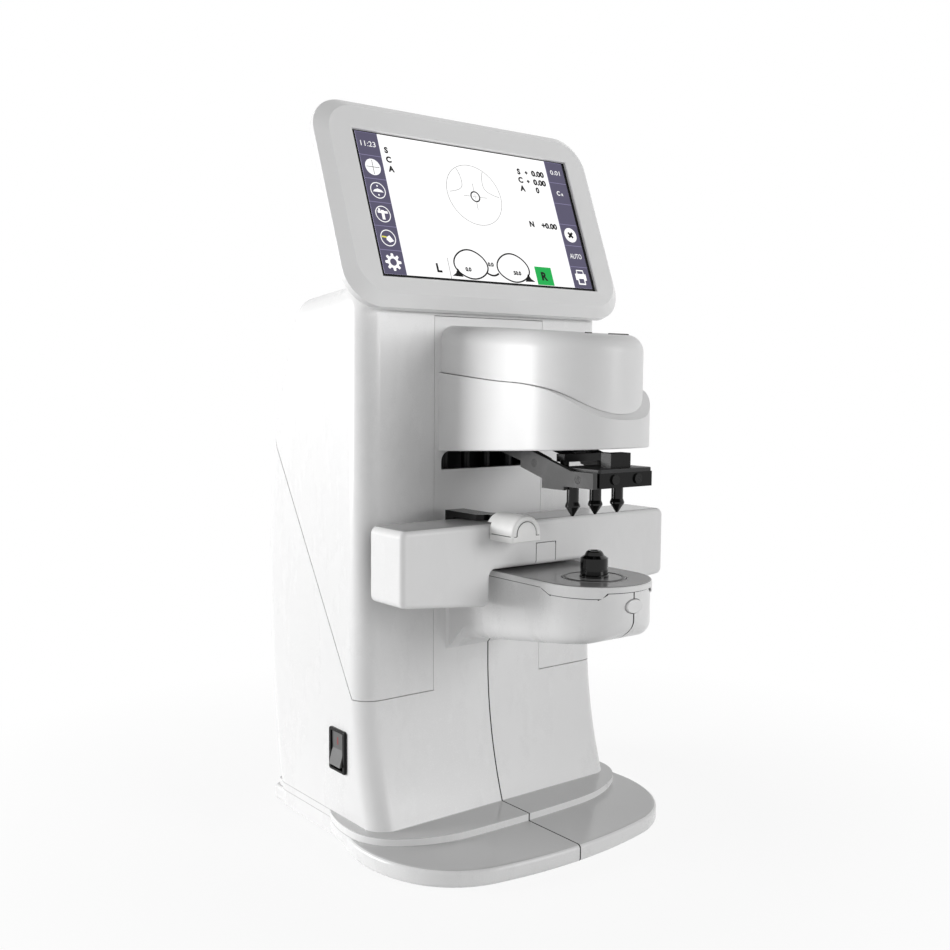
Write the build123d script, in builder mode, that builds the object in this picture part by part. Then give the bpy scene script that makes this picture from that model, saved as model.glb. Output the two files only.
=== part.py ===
"""Auto lensmeter on a bench base, in millimetres.

+X is the operator's right, -Y the operator's side and +Z up. The origin lies on the bench
under the middle of the machine's box. Every depth is counted from the optical axis, which
goes straight down through the lens rest.
"""

from build123d import *
import os
from math import asin, cos, degrees, hypot, radians, sin, sqrt

os.makedirs("parts", exist_ok=True)

# Fits, walls and gaps
wall = 3.0
seam = 0.5
running = 0.05
gap = 0.6
sheet = 2.0
middle_gap = 0.5
machine_depth = 230.2
chin_reach = 29.0
lid_lap = 0.9
axis_y = chin_reach + lid_lap - machine_depth / 2

# Base with its raised terrace
foot_height = 1.5
foot_radius = 8.0
base_top = 10.9
terrace_rise = 4.3
terrace_top = base_top + terrace_rise
base_front = 7.0
base_widest = 96.5
base_waist = 86.5
base_rear_step = 9.8
base_rear = machine_depth - chin_reach - lid_lap - base_rear_step
waist_y = 126.0
base_edge_round = 2.2
base_corner = 4.0
terrace_front = 49.3
terrace_widest = 93.4
terrace_waist = 85.0
terrace_rear = base_rear - 3.0

# Column
column_half = 87.0
column_round = 12.0
column_front = axis_y + 88.0
column_toe = axis_y + 73.4
flare_top = 100.0
column_bulge_y = machine_depth / 2
column_bulge_z = 149.3
upper_back_radius = 330.0
lower_back_radius = 690.0
column_top_front = 312.2
column_top_slope = 0.0986
column_top_rear = 305.0
top_front_round = 16.0
top_rear_round = 15.0

# Where the upper cover meets the lower housing
division_z = 84.0
division_y = axis_y + 98.2
division_slope = 58.0
groove_width = 3.2
groove_depth = 1.6
centre_half = 39.5
centre_top = 294.5
window_half = 34.5
window_low = 209.0
window_high = 272.0
window_round = 6.0

# Head over the optical axis
head_half = 36.5
head_reach = 23.5
head_low = 219.5
head_low_front = 225.6
head_side_inset = 1.5
head_front_inset = 4.7
head_top_rear = 289.3
head_top_front = 282.0
head_round = 9.0
ledge_points = ((92.0, 263.5), (65.0, 260.9), (35.0, 258.4), (5.0, 255.6), (-3.0, 253.2), (-9.0, 249.9),
                (-15.5, 244.9), (-21.0, 240.9), (-25.0, 239.5))
ledge_thickness = 2.5

# Stage and chin
stage_top = 157.4
stage_half = 30.3
lid_thickness = 3.2
lid_skirt = 2.8
skirt_back = 8.0
skirt_slope = 7.0
skirt_notch_high = 14.5
skirt_notch_low = 18.6
lid_shadow = 0.5
lid_recess = 1.2
chin_half = stage_half - lid_lap
chin_front_low = 129.6
chin_rear_low = 112.8
chin_front_round = 24.0
chin_edge_round = 8.0
chin_blend = 7.0
chin_side_blend = 1.5
rest_plate_radius = 16.6
rest_groove = 0.5
rest_height = 13.8
rest_radius = 7.2
rest_top_radius = 4.2
rest_bore = 2.2
rest_neck = 4.9
rest_flange = 7.6

# Measuring button in the chin
button_width = 11.0
button_height = 7.0
button_z = 146.7
button_travel = 1.5
button_proud = 0.9

# Power switch in the left side
switch_y = axis_y + 111.8
switch_z = 52.4
switch_width = 17.0
switch_height = 24.3
switch_proud = 1.6
rocker_width = 11.4
rocker_height = 18.6
rocker_tilt = 7.0

# Rear connector panel
panel_half = 50.0
panel_z = 49.0
panel_height = 36.0
inlet_x = 25.0
inlet_width = 48.0
inlet_height = 27.0
inlet_cavity_width = 25.0
inlet_cavity_height = 16.4
inlet_cavity_depth = 16.0
port_x = -22.0
port_width = 30.8
port_height = 12.5

# Display, tilted back
screen_width = 154.08
screen_height = 85.92
screen_y = axis_y + 97.7
screen_z = 353.6
screen_tilt = 20.85
screen_border = 2.0
bezel_width = 197.4
bezel_height = 122.0
bezel_round = 21.0
bezel_lift = 2.0
bezel_front_width = 185.0
bezel_front_height = 110.0
bezel_face = 1.2
bezel_rim = 4.0
bezel_skirt = 3.4
display_thin = 8.0
display_deep = 24.0
display_box_low = -19.0
display_box_high = 46.0
display_box_half = 70.0
glass_thickness = 1.1
hinge_along = -27.0
hinge_depth = 19.0
hinge_radius = 3.0
hinge_arm_x = 40.0
hinge_arm_thickness = 4.0

# Lens table and its nose pad slider
table_front = 39.0
table_depth = 28.0
table_half = 94.4
table_top = 183.9
table_low = 144.6
table_leg_low = 139.3
table_wall = 2.5
table_round = 4.0
table_gap_half = 37.5
table_gap_top = stage_top + 1.6
table_rod_x = 62.0
table_rod_z = 165.0
table_rod_radius = 3.0
table_rod_end = 150.0
insert_x = 1.0
insert_half = 7.0
insert_high = 171.0
rail_y = 73.0
rail_z = 176.0
rail_radius = 2.0
rail_half = 84.0
pad_x = -29.5
pad_half = 9.6
pad_front = 19.5
pad_low = 175.7
pad_flange = 3.2
pad_core_radius = 6.8
link_low = 184.7
link_thickness = 3.2

# Marking unit
arm_half = 20.2
arm_thickness = 2.8
block_half = 18.5
block_front = -22.0
block_back = 4.6
block_low = 206.0
block_top = 213.6
block_cover = 2.0
block_foot_low = 203.8
block_foot_back = 17.3
arm_top = 214.0
short_arm_front = -14.0
pen_spacing = 15.9
pen_radius = 3.1
pen_tip_z = 190.3
pen_cone = 4.8
pen_collar = 2.6
pen_collar_radius = 3.8
pen_tip_radius = 0.6
pen_head_radius = 3.8
pen_travel = 2.2
marking_rod_x = 24.0
marking_rod_radius = 3.0
marking_travel = 17.5

# Lens presser
presser_rod_x = 7.5
presser_rod_radius = 2.5
presser_pin_x = 13.0
presser_pin_y = 9.5
presser_pin_radius = 2.3
presser_pin_low = 203.0
presser_bar_low = 217.5
presser_bar_height = 4.0
presser_travel = 26.0

# Frame inside
guide_y = 101.0
spine_y = 120.0
spine_half = 45.0
spine_thickness = 3.0
spine_top = 290.0
head_frame_z = 262.0
head_frame_thickness = 4.0
head_frame_half = 31.0
rod_bracket_top = 201.0
lamp_tube_low = 226.0
lamp_tube_radius = 10.0
receiver_radius = 9.0
receiver_low = 133.0
board = 1.6


def at(depth):
    """Row depth of a place counted back from the optical axis."""
    return axis_y + depth


def plan_face(points, back, inset=0.0):
    """Base outline: arcs that run on smoothly through the points, straight flanks, round rear corners."""
    places = [(x, at(y)) for x, y in points]
    rear = at(back)
    with BuildSketch() as plan:
        with BuildLine():
            way = (1, 0)
            for start, end in zip(places, places[1:]):
                curve = TangentArc(start, end, tangent=way)
                way = curve % 1
            Polyline(places[-1], (places[-1][0], rear), (0, rear))
            mirror(about=Plane.YZ)
        make_face()
        fillet(plan.vertices().group_by(Axis.Y)[-1], base_corner)
        if inset:
            offset(amount=-inset)
    return plan.sketch


def base_points():
    """The slab's outline, from the middle of its front round to the waist."""
    return ((0, base_front), (53.5, base_front + 5.4), (base_widest - 6.9, base_front + 33.9),
            (base_widest, base_front + 65), ((base_widest + base_waist) / 2, (base_front + 65 + waist_y) / 2),
            (base_waist, waist_y))


def terrace_points():
    """The terrace's outline, a little inside the slab's."""
    return ((0, terrace_front), (40, terrace_front + 1), (terrace_widest - 13.4, terrace_front + 14.7),
            (terrace_widest, terrace_front + 38.7), (terrace_waist, waist_y))


def flare_y(z, inset=0.0):
    """Depth of the column's front below the flare's top, on its one arc."""
    rise = flare_top - terrace_top
    reach = column_front - column_toe
    radius = (rise ** 2 + reach ** 2) / (2 * reach)
    return column_front - radius + sqrt((radius + inset) ** 2 - (flare_top - z) ** 2)


def back_y(z, inset=0.0):
    """Depth of the column's back at a height, on its two arcs about the bulge."""
    radius = upper_back_radius if z > column_bulge_z else lower_back_radius
    return column_bulge_y - radius + sqrt((radius - inset) ** 2 - (z - column_bulge_z) ** 2)


def top_z(y, inset=0.0):
    """Height of the column's sloping top at a depth."""
    return column_top_front - column_top_slope * (y - column_front) - inset * hypot(1, column_top_slope)


def top_rear_corner(inset):
    """Where the sloping top meets the back, found by going from one to the other."""
    height = top_z(column_bulge_y)
    for turn in range(12):
        height = top_z(back_y(height, inset), inset)
    return (back_y(height, inset), height)


def column_solid(inset):
    """Column moved in by an inset: its side outline made as wide as the column, then rounded."""
    low = foot_height - (1 if inset else 0)
    flare_middle = (low + flare_top) / 2
    mid_low = (low + column_bulge_z) / 2
    mid_high = (column_bulge_z + column_top_rear) / 2
    front = column_front + inset
    front_corner = (front, top_z(front, inset))
    rear_corner = top_rear_corner(inset)
    bulge = (column_bulge_y - inset, column_bulge_z)
    with BuildPart() as column:
        with BuildSketch(Plane.YZ) as side:
            with BuildLine():
                ThreePointArc((flare_y(low, inset), low), (flare_y(flare_middle, inset), flare_middle),
                              (front, flare_top))
                Polyline((front, flare_top), front_corner, rear_corner)
                ThreePointArc(rear_corner, (back_y(mid_high, inset), mid_high), bulge)
                ThreePointArc(bulge, (back_y(mid_low, inset), mid_low), (back_y(low, inset), low))
                Line((back_y(low, inset), low), (flare_y(low, inset), low))
            make_face()
            fillet(side.vertices().sort_by_distance(front_corner)[0], top_front_round - inset)
            fillet(side.vertices().sort_by_distance(rear_corner)[0], top_rear_round - inset)
        extrude(amount=column_half - inset, both=True)
        sides = column.faces().filter_by(Axis.X)
        fillet(sides.edges().filter_by(lambda e: e.center().Z > low + 1), column_round - inset)
    return column.part


def chin_solid(inset):
    """Chin moved in by an inset: round nose, sides and underside that blend into the column."""
    half = chin_half - inset
    wide = half + chin_side_blend
    nose_y = at(-chin_reach) + chin_half
    rear = column_front + column_round
    blend_y = column_front - chin_side_blend + inset
    top = stage_top - lid_thickness + (wall if inset else 0)
    front = at(-chin_reach) - 4 + inset
    slope = (chin_front_low - chin_rear_low) / (column_front - at(-chin_reach) + 4)
    turn_y = column_front - chin_blend
    low_front = chin_front_low + inset
    low_turn = low_front - slope * (turn_y - front)
    low_rear = low_turn - chin_blend
    with BuildPart() as chin:
        with BuildSketch(Plane.XY.offset(low_rear)):
            with BuildLine():
                Polyline((half, nose_y), (half, blend_y), (wide, blend_y + chin_side_blend), (wide, rear),
                         (-wide, rear), (-wide, blend_y + chin_side_blend), (-half, blend_y), (-half, nose_y))
                ThreePointArc((-half, nose_y), (0, nose_y - half), (half, nose_y))
            make_face()
        extrude(amount=top - low_rear)
        with BuildSketch(Plane.YZ) as side:
            with BuildLine():
                Polyline((front, top), (front, low_front), (turn_y, low_turn), (column_front, low_rear),
                         (rear, low_rear), (rear, top), close=True)
            make_face()
            fillet(side.vertices().sort_by_distance((front, low_front))[0], chin_front_round - inset)
        extrude(amount=chin_half + chin_side_blend, both=True, mode=Mode.INTERSECT)
        under = chin.faces().filter_by(lambda f: f.normal_at().Z < -0.2 and f.center().Y < blend_y)
        rim = under.edges().filter_by(lambda e: abs(e.center().X) > half * 0.6 and e.center().Y < turn_y)
        fillet(rim, chin_edge_round - inset)
    return chin.part


def slab(points, back, low, high, inset=0.0, edge=0.0):
    """A plate of the base between two heights, with its edges eased."""
    with BuildPart() as plate:
        with BuildSketch(Plane.XY.offset(low)):
            add(plan_face(points, back, inset))
        extrude(amount=high - low)
        if edge:
            fillet(plate.faces().filter_by(Axis.Z).edges(), edge)
    return plate.part


def housing_solid(inset):
    """Base, terrace, column and chin as one body, moved in by an inset."""
    hollow = inset > 0
    floor = foot_height - (1 if hollow else 0)
    with BuildPart() as housing:
        edge = 0 if hollow else base_edge_round
        add(slab(base_points(), base_rear, floor, base_top - inset, inset, edge))
        add(slab(terrace_points(), terrace_rear, base_top / 2, terrace_top - inset, inset))
        add(column_solid(inset))
        add(chin_solid(inset))
    return housing.part


def below_division(shift):
    """Everything under the line where upper cover and lower housing meet, the line moved up by a shift."""
    slope = radians(division_slope)
    corner_y = division_y - shift * (1 - cos(slope)) / sin(slope)
    reach = machine_depth
    with BuildPart() as region:
        with BuildSketch(Plane.YZ):
            with BuildLine():
                Polyline((-reach, -reach), (-reach, division_z + shift), (corner_y, division_z + shift),
                         (corner_y + reach * cos(slope), division_z + shift + reach * sin(slope)),
                         (reach, -reach), close=True)
            make_face()
        extrude(amount=column_half + base_widest, both=True)
    return region.part


def box_part(low, high):
    """A block between two corners."""
    size = [high[i] - low[i] for i in range(3)]
    middle = [(high[i] + low[i]) / 2 for i in range(3)]
    with BuildPart() as block:
        with Locations(tuple(middle)):
            Box(*size)
    return block.part


def nose_prism(half, reach, rear, low, high):
    """Upright block with flat sides and a round nose that reaches towards the operator."""
    nose_y = at(-reach) + half
    with BuildPart() as prism:
        with BuildSketch(Plane.XY.offset(low)):
            with BuildLine():
                Polyline((half, nose_y), (half, rear), (-half, rear), (-half, nose_y))
                ThreePointArc((-half, nose_y), (0, nose_y - half), (half, nose_y))
            make_face()
        extrude(amount=high - low)
    return prism.part


def head_floor(y):
    """Height of the head's underside, which rises towards the operator."""
    slope = (head_low_front - head_low) / (column_front - at(-head_reach))
    return head_low + slope * (column_front - y)


def below_ledge(drop, clear=0.0):
    """Everything from the head's underside, moved down by a clearance, to its ledge, lowered by a drop."""
    points = [(at(y), z - drop) for y, z in ledge_points]
    rear = points[0][0]
    front = points[-1][0]
    with BuildPart() as region:
        with BuildSketch(Plane.YZ):
            with BuildLine():
                ledge = Spline(*points)
                Polyline(ledge @ 1, (front, head_floor(front) - clear), (rear, head_floor(rear) - clear),
                         ledge @ 0)
            make_face()
        extrude(amount=head_half + wall, both=True)
    return region.part


def head_top_solid(inset):
    """The head's upper part moved in by an inset: round nose, sloping top and rounded top edge."""
    half = head_half - head_side_inset - inset
    reach = head_reach - head_front_inset - inset
    nose = at(-reach)
    slope = (head_top_rear - head_top_front) / (column_front - at(-head_reach + head_front_inset))
    rise = head_top_front + slope * inset - inset
    with BuildPart() as top:
        add(nose_prism(half, reach, column_front, head_low, head_top_rear))
        with BuildSketch(Plane.YZ):
            with BuildLine():
                Polyline((nose, head_low), (nose, rise), (column_front, head_top_rear - inset),
                         (column_front, head_low), close=True)
            make_face()
        extrude(amount=half, both=True, mode=Mode.INTERSECT)
        roof = top.faces().sort_by(Axis.Z)[-1]
        fillet(roof.edges().filter_by(lambda e: e.center().Y < column_front - 1), head_round - inset)
    return top.part


def beam(points, middle, half):
    """A plate that stands along the depth, from its side outline, its middle and half its thickness."""
    with BuildPart() as plate:
        with BuildSketch(Plane.YZ.offset(middle)):
            with BuildLine():
                Polyline(*points, close=True)
            make_face()
        extrude(amount=half, both=True)
    return plate.part


def rod(start, end, radius):
    """A round rod between two places."""
    line = Vector(*end) - Vector(*start)
    with BuildPart() as round_rod:
        with BuildSketch(Plane(origin=start, z_dir=line)):
            Circle(radius)
        extrude(amount=line.length)
    return round_rod.part


def rods(places, radius):
    """Several round rods as one group of solids."""
    with BuildPart() as group:
        for start, end in places:
            add(rod(start, end, radius))
    return group.part


def spot(along, depth):
    """A place behind the display's face, from its distances up along the face and behind it."""
    lean = radians(screen_tilt)
    return (screen_y + along * sin(lean) + depth * cos(lean), screen_z + along * cos(lean) - depth * sin(lean))


# Shared solids of the housing
chin_top = stage_top - lid_thickness
column_skin = column_front + wall
outer = housing_solid(0)
inner = housing_solid(wall)

# Screws of the base plate, three on each side, with their bosses in the housing
screw_radius = 1.5
screw_head = 3.0
screw_head_height = 1.5
boss_radius = 5.0
plate_thickness = 2.0
plate_top = foot_height + plate_thickness
boss_top = base_top - wall
screw_rows = ((40, 25), (86, 60), (79, base_rear - 12.5))
screw_places = [(side * x, at(y)) for side in (-1, 1) for x, y in screw_rows]
with BuildPart() as housing_screws:
    with BuildSketch(Plane.XY.offset(foot_height)):
        with Locations(*screw_places):
            Circle(screw_head)
    extrude(amount=screw_head_height)
    with BuildSketch(Plane.XY.offset(foot_height)):
        with Locations(*screw_places):
            Circle(screw_radius)
    extrude(amount=boss_top - foot_height)

# Steel plate under the base
with BuildPart() as base_plate:
    with BuildSketch(Plane.XY.offset(foot_height)):
        add(plan_face(base_points(), base_rear, wall + gap))
    extrude(amount=plate_thickness)
    add(housing_screws.part, mode=Mode.SUBTRACT)

# Rubber feet
foot_places = [(side * 68, at(y)) for side in (-1, 1) for y in (52, base_rear - 18.5)]
with BuildPart() as rubber_feet:
    with BuildSketch():
        with Locations(*foot_places):
            Circle(foot_radius)
    extrude(amount=foot_height)
    fillet(rubber_feet.faces().sort_by(Axis.Z)[0].edges(), 0.5)

# Plane of the rear panel, on the back's slope, seen from behind
panel_lean = degrees(asin((column_bulge_z - panel_z) / lower_back_radius))
rear_plane = Plane(origin=(0, back_y(panel_z), panel_z), x_dir=(-1, 0, 0),
                   z_dir=(0, cos(radians(panel_lean)), -sin(radians(panel_lean))))
panel_face = -(wall + seam)

# Measuring button, an ellipse pressed into the chin's front
button_front = at(-chin_reach) - button_proud
button_flange = 1.2
button_flange_y = at(-chin_reach) + wall + 1.6
button_hole = 0.4
button_plane = Plane(origin=(0, button_front, button_z), x_dir=(1, 0, 0), z_dir=(0, -1, 0))


def ellipse_rod(width, height, start, end):
    """An oval rod that lies along the depth, at the measuring button's middle."""
    with BuildPart() as oval:
        with BuildSketch(button_plane.offset(button_front - start)):
            Ellipse(width / 2, height / 2)
        extrude(amount=start - end)
    return oval.part


with BuildPart() as measure_button:
    add(ellipse_rod(button_width, button_height, button_front, button_flange_y + 5))
    fillet(measure_button.edges().sort_by(Axis.Y)[0], 0.7)
    add(ellipse_rod(button_width + 4, button_height + 3, button_flange_y, button_flange_y + button_flange))


# The stage lid's skirt, and the shadow gap that the chin has under lid and skirt
def skirt_zone(grow):
    """Where the lid's skirt lies: level on the flanks, its ends sloping at the back and beside the button."""
    low = chin_top - lid_skirt - grow
    rear_points = [(at(-chin_reach) - wall, low), (at(skirt_back - skirt_slope) + grow, low),
                   (at(skirt_back) + grow, chin_top), (at(-chin_reach) - wall, chin_top)]
    with BuildPart() as zone:
        add(beam(rear_points, 0, stage_half + 1))
        with BuildSketch(Plane(origin=(0, at(0), 0), x_dir=(1, 0, 0), z_dir=(0, -1, 0))):
            with BuildLine():
                Polyline((-skirt_notch_low + grow, low - 1), (skirt_notch_low - grow, low - 1),
                         (skirt_notch_high - grow, chin_top + 1), (-skirt_notch_high + grow, chin_top + 1),
                         close=True)
            make_face()
        extrude(amount=chin_reach + wall + 1, mode=Mode.SUBTRACT)
    return zone.part


with BuildPart() as lid_gap_ring:
    add(nose_prism(chin_half + 1, chin_reach + 1, column_front, chin_top - lid_skirt - 1, chin_top + 1))
    add(nose_prism(chin_half - lid_recess, chin_reach - lid_recess, column_front + 1, chin_top - lid_skirt - 2,
                   chin_top + 2), mode=Mode.SUBTRACT)
with BuildPart() as lid_gap_zone:
    add(box_part((-stage_half - 1, at(-chin_reach) - wall, chin_top - lid_shadow),
                 (stage_half + 1, column_front, chin_top + 0.5)))
    add(skirt_zone(lid_shadow))
with BuildPart() as lid_gap:
    add(lid_gap_ring.part)
    add(lid_gap_zone.part, mode=Mode.INTERSECT)

# Lower housing, made whole and parted on the middle plane
switch_side = Plane(origin=(-column_half, switch_y, switch_z), x_dir=(0, -1, 0), z_dir=(-1, 0, 0))
vent_x = centre_half + 24.2
vent_z = division_z + 4.7
vent_radius = 1.5
switch_body_width = switch_width - 2.0
switch_body_height = switch_height - 2.0
with BuildPart() as lower_region:
    add(below_division(0))
    add(box_part((seam / 2 - centre_half, -machine_depth, division_z - 1),
                 (centre_half - seam / 2, column_skin, chin_top)))
with BuildPart() as lap_lip:
    add(column_solid(groove_depth))
    add(inner, mode=Mode.SUBTRACT)
    add(below_division(groove_width), mode=Mode.INTERSECT)
    add(below_division(-groove_width), mode=Mode.SUBTRACT)
with BuildPart() as lower_shell:
    add(outer)
    add(inner, mode=Mode.SUBTRACT)
    add(lower_region.part, mode=Mode.INTERSECT)
    add(lap_lip.part)
    with BuildSketch(Plane.XY.offset(plate_top)):
        with Locations(*screw_places):
            Circle(boss_radius)
    extrude(amount=boss_top - plate_top)
    add(housing_screws.part, mode=Mode.SUBTRACT)
    with BuildSketch(switch_side.offset(wall)):
        Rectangle(switch_body_width + 2 * running, switch_body_height + 2 * running)
    extrude(amount=-4 * wall, mode=Mode.SUBTRACT)
    with BuildSketch(rear_plane.offset(wall)):
        Rectangle(2 * panel_half, panel_height)
    extrude(amount=-4 * wall, mode=Mode.SUBTRACT)
    add(ellipse_rod(button_width + 2 * button_hole, button_height + 2 * button_hole, button_front,
                    button_flange_y), mode=Mode.SUBTRACT)
    add(rod((vent_x, column_front - wall, vent_z), (vent_x, column_front + 2 * wall, vent_z), vent_radius),
        mode=Mode.SUBTRACT)
    add(lid_gap.part, mode=Mode.SUBTRACT)
with BuildPart() as lower_housing_left:
    add(lower_shell.part)
    split(bisect_by=Plane.YZ.offset(-middle_gap / 2), keep=Keep.BOTTOM)
with BuildPart() as lower_housing_right:
    add(lower_shell.part)
    split(bisect_by=Plane.YZ.offset(middle_gap / 2), keep=Keep.TOP)

# Upper cover with its front slot, the bushes' holes and the display arms' slots
bush_radius = 5.0
bush_flange = 7.0
bush_end = at(112)
with BuildPart() as lap_recess:
    add(column_solid(groove_depth - 2 * running))
    add(below_division(groove_width + seam), mode=Mode.INTERSECT)
with BuildPart() as upper_cover:
    add(outer)
    add(inner, mode=Mode.SUBTRACT)
    add(below_division(seam), mode=Mode.SUBTRACT)
    add(lap_recess.part, mode=Mode.SUBTRACT)
    add(box_part((-centre_half, -machine_depth, division_z), (centre_half, column_skin + 1, centre_top)),
        mode=Mode.SUBTRACT)
    for side in (-1, 1):
        start = (side * table_rod_x, column_front - 1, table_rod_z)
        add(rod(start, (start[0], column_skin + 1, table_rod_z), bush_radius), mode=Mode.SUBTRACT)
        slot_x = side * hinge_arm_x
        half = hinge_arm_thickness / 2 + gap
        add(box_part((slot_x - half, at(98), 295), (slot_x + half, at(121), 320)), mode=Mode.SUBTRACT)

# Centre panel with the window that the mechanism reaches through
flange_half = centre_half + 2.5
flange_thickness = 1.5
window_corner_z = (window_low + head_low) / 2
panel_low = chin_top + seam
panel_top = centre_top - seam
window_plane = Plane(origin=(0, column_front - 1, window_corner_z), x_dir=(1, 0, 0), z_dir=(0, -1, 0))
with BuildPart() as centre_panel:
    add(box_part((seam / 2 - centre_half, column_front, panel_low),
                 (centre_half - seam / 2, column_skin, panel_top)))
    add(box_part((-flange_half, column_skin, stage_top),
                 (flange_half, column_skin + flange_thickness, centre_top + 1)))
    with BuildSketch(window_plane) as mouth:
        Rectangle(2 * window_half, head_low - window_low)
        fillet(mouth.vertices().group_by(Axis.Y)[-1], window_round)
        with Locations((0, (window_high - window_low) / 2)):
            Rectangle(2 * window_half, window_high - head_low)
    extrude(amount=-(wall + flange_thickness + 2), mode=Mode.SUBTRACT)

# Head covers
head_seam = 0.4
cover_wall = 2.5
cover_lap = cover_wall + 1.0
with BuildPart() as head_block:
    add(nose_prism(head_half, head_reach, column_front, head_low - wall, head_top_rear))
    add(below_ledge(0), mode=Mode.INTERSECT)
    low_rim = head_block.faces().sort_by(Axis.Z)[0].edges()
    fillet(low_rim.filter_by(lambda e: e.center().Y < column_front - 1), 1.0)
with BuildPart() as head_hollow:
    add(nose_prism(head_half - wall, head_reach - wall, column_front, head_low - wall, head_top_rear))
    add(below_ledge(ledge_thickness, wall), mode=Mode.INTERSECT)
with BuildPart() as head_lower_cover:
    add(head_block.part)
    add(head_hollow.part, mode=Mode.SUBTRACT)
    add(nose_prism(head_half - head_side_inset - cover_lap, head_reach - head_front_inset - cover_lap,
                   column_front, head_low, head_top_rear), mode=Mode.SUBTRACT)
with BuildPart() as head_upper_cover:
    add(head_top_solid(0))
    add(head_top_solid(cover_wall), mode=Mode.SUBTRACT)
    add(below_ledge(-head_seam, 4 * wall), mode=Mode.SUBTRACT)

# Black light shield inside the head and beside the window
shield_gap = 0.3
shield_thickness = 1.0
shield_half = head_half - wall - shield_gap
shield_reach = head_reach - wall - shield_gap
shield_back = at(118)
shield_top = head_low + 15.5
shield_step = 0.8
shield_wing_low = window_low + 4.0
shield_wing_top = window_high - 10.0
shield_rear = column_skin + flange_thickness + gap
shield_cut = [(column_front + 1, head_low - wall), (column_front + 1, head_low + shield_step),
              (at(-head_reach), head_low_front + shield_step), (at(-head_reach), head_low - wall)]
with BuildPart() as light_shield:
    add(nose_prism(shield_half, shield_reach, column_front, head_low, shield_top))
    add(nose_prism(shield_half - shield_thickness, shield_reach - shield_thickness, column_front, head_low - 1,
                   shield_top + 1), mode=Mode.SUBTRACT)
    add(beam(shield_cut, 0, head_half), mode=Mode.SUBTRACT)
    for side in (-1, 1):
        middle = side * (shield_half - shield_thickness / 2)
        half = shield_thickness / 2
        add(box_part((middle - half, column_front, head_low + shield_step),
                     (middle + half, shield_rear, shield_wing_top)))
        add(box_part((middle - half, shield_rear, shield_wing_low),
                     (middle + half, shield_back, shield_wing_top)))

# Stage lid with its skirt over the chin's front flanks
lid_reach = chin_reach + lid_lap
with BuildPart() as lid_plate:
    add(nose_prism(stage_half, lid_reach, column_front, chin_top, stage_top))
    top_rim = lid_plate.faces().sort_by(Axis.Z)[-1].edges()
    fillet(top_rim.filter_by(lambda e: e.center().Y < column_front - 1), 1.2)
with BuildPart() as lid_rim:
    add(nose_prism(stage_half, lid_reach, at(skirt_back), chin_top - lid_skirt, chin_top))
    add(nose_prism(chin_half + running, chin_reach + running, at(skirt_back) + 1, chin_top - lid_skirt - 1,
                   chin_top), mode=Mode.SUBTRACT)
    add(skirt_zone(0), mode=Mode.INTERSECT)
with BuildPart() as stage_lid:
    add(lid_plate.part)
    add(lid_rim.part)
    with BuildSketch(Plane.XY.offset(stage_top - sheet)):
        with Locations((0, axis_y)):
            Circle(rest_plate_radius + rest_groove)
    extrude(amount=sheet, mode=Mode.SUBTRACT)
    with BuildSketch(Plane.XY.offset(chin_top)):
        with Locations((0, axis_y)):
            Circle(rest_neck)
    extrude(amount=lid_thickness, mode=Mode.SUBTRACT)

# Round plate in the lid, and the lens rest that stands on it
rest_plate_top = stage_top + 0.2
with BuildPart() as rest_plate:
    with BuildSketch(Plane.XY.offset(stage_top - sheet)):
        with Locations((0, axis_y)):
            Circle(rest_plate_radius)
            Circle(rest_neck, mode=Mode.SUBTRACT)
    extrude(amount=rest_plate_top - stage_top + sheet)
rest_top = rest_plate_top + rest_height
receiver_top = chin_top - 2.5
axis_plane = Plane(origin=(0, axis_y, 0), x_dir=(1, 0, 0), z_dir=(0, -1, 0))
with BuildPart() as lens_rest:
    with BuildSketch(axis_plane):
        with BuildLine():
            Polyline((rest_bore, receiver_top), (rest_neck, receiver_top), (rest_neck, rest_plate_top),
                     (rest_flange, rest_plate_top), (rest_flange, rest_plate_top + 1.0),
                     (rest_radius, rest_plate_top + 1.4), (rest_radius, rest_top - 3.8),
                     (rest_radius - 2.1, rest_top - 2.4), (rest_top_radius, rest_top - 0.6),
                     (rest_top_radius - 0.9, rest_top), (rest_bore, rest_top), close=True)
        make_face()
    revolve(axis=Axis((0, axis_y, 0), (0, 0, 1)))

# Receiver under the lens rest
bracket_low = 130.2
bracket_top = bracket_low + sheet
sensor_top = bracket_top + board
plate_seat = receiver_top - 3.0
pattern_thickness = 0.8
with BuildPart() as receiver_tube:
    with BuildSketch(axis_plane):
        with BuildLine():
            Polyline((receiver_radius - 2.5, sensor_top), (receiver_radius, sensor_top),
                     (receiver_radius, receiver_top), (receiver_radius - 1.5, receiver_top),
                     (receiver_radius - 1.5, plate_seat), (receiver_radius - 2.5, plate_seat), close=True)
        make_face()
    revolve(axis=Axis((0, axis_y, 0), (0, 0, 1)))
with BuildPart() as hartmann_plate:
    with BuildSketch(Plane.XY.offset(plate_seat)):
        with Locations((0, axis_y)):
            Circle(receiver_radius - 1.5 - running)
            with GridLocations(2.4, 2.4, 3, 3):
                Circle(0.5, mode=Mode.SUBTRACT)
    extrude(amount=pattern_thickness)
with BuildPart() as sensor_board:
    add(box_part((-12, at(-10), bracket_top), (12, at(18), sensor_top)))
    add(box_part((-4, at(-4), sensor_top), (4, at(4), sensor_top + 1)))
    add(box_part((-9, at(11), sensor_top), (9, at(16), sensor_top + 3)))
with BuildPart() as chin_bracket:
    add(box_part((-12, at(-10), bracket_low), (12, at(spine_y), bracket_top)))
    add(box_part((-12, at(spine_y) - sheet, bracket_low - 14), (12, at(spine_y), bracket_low)))

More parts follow.
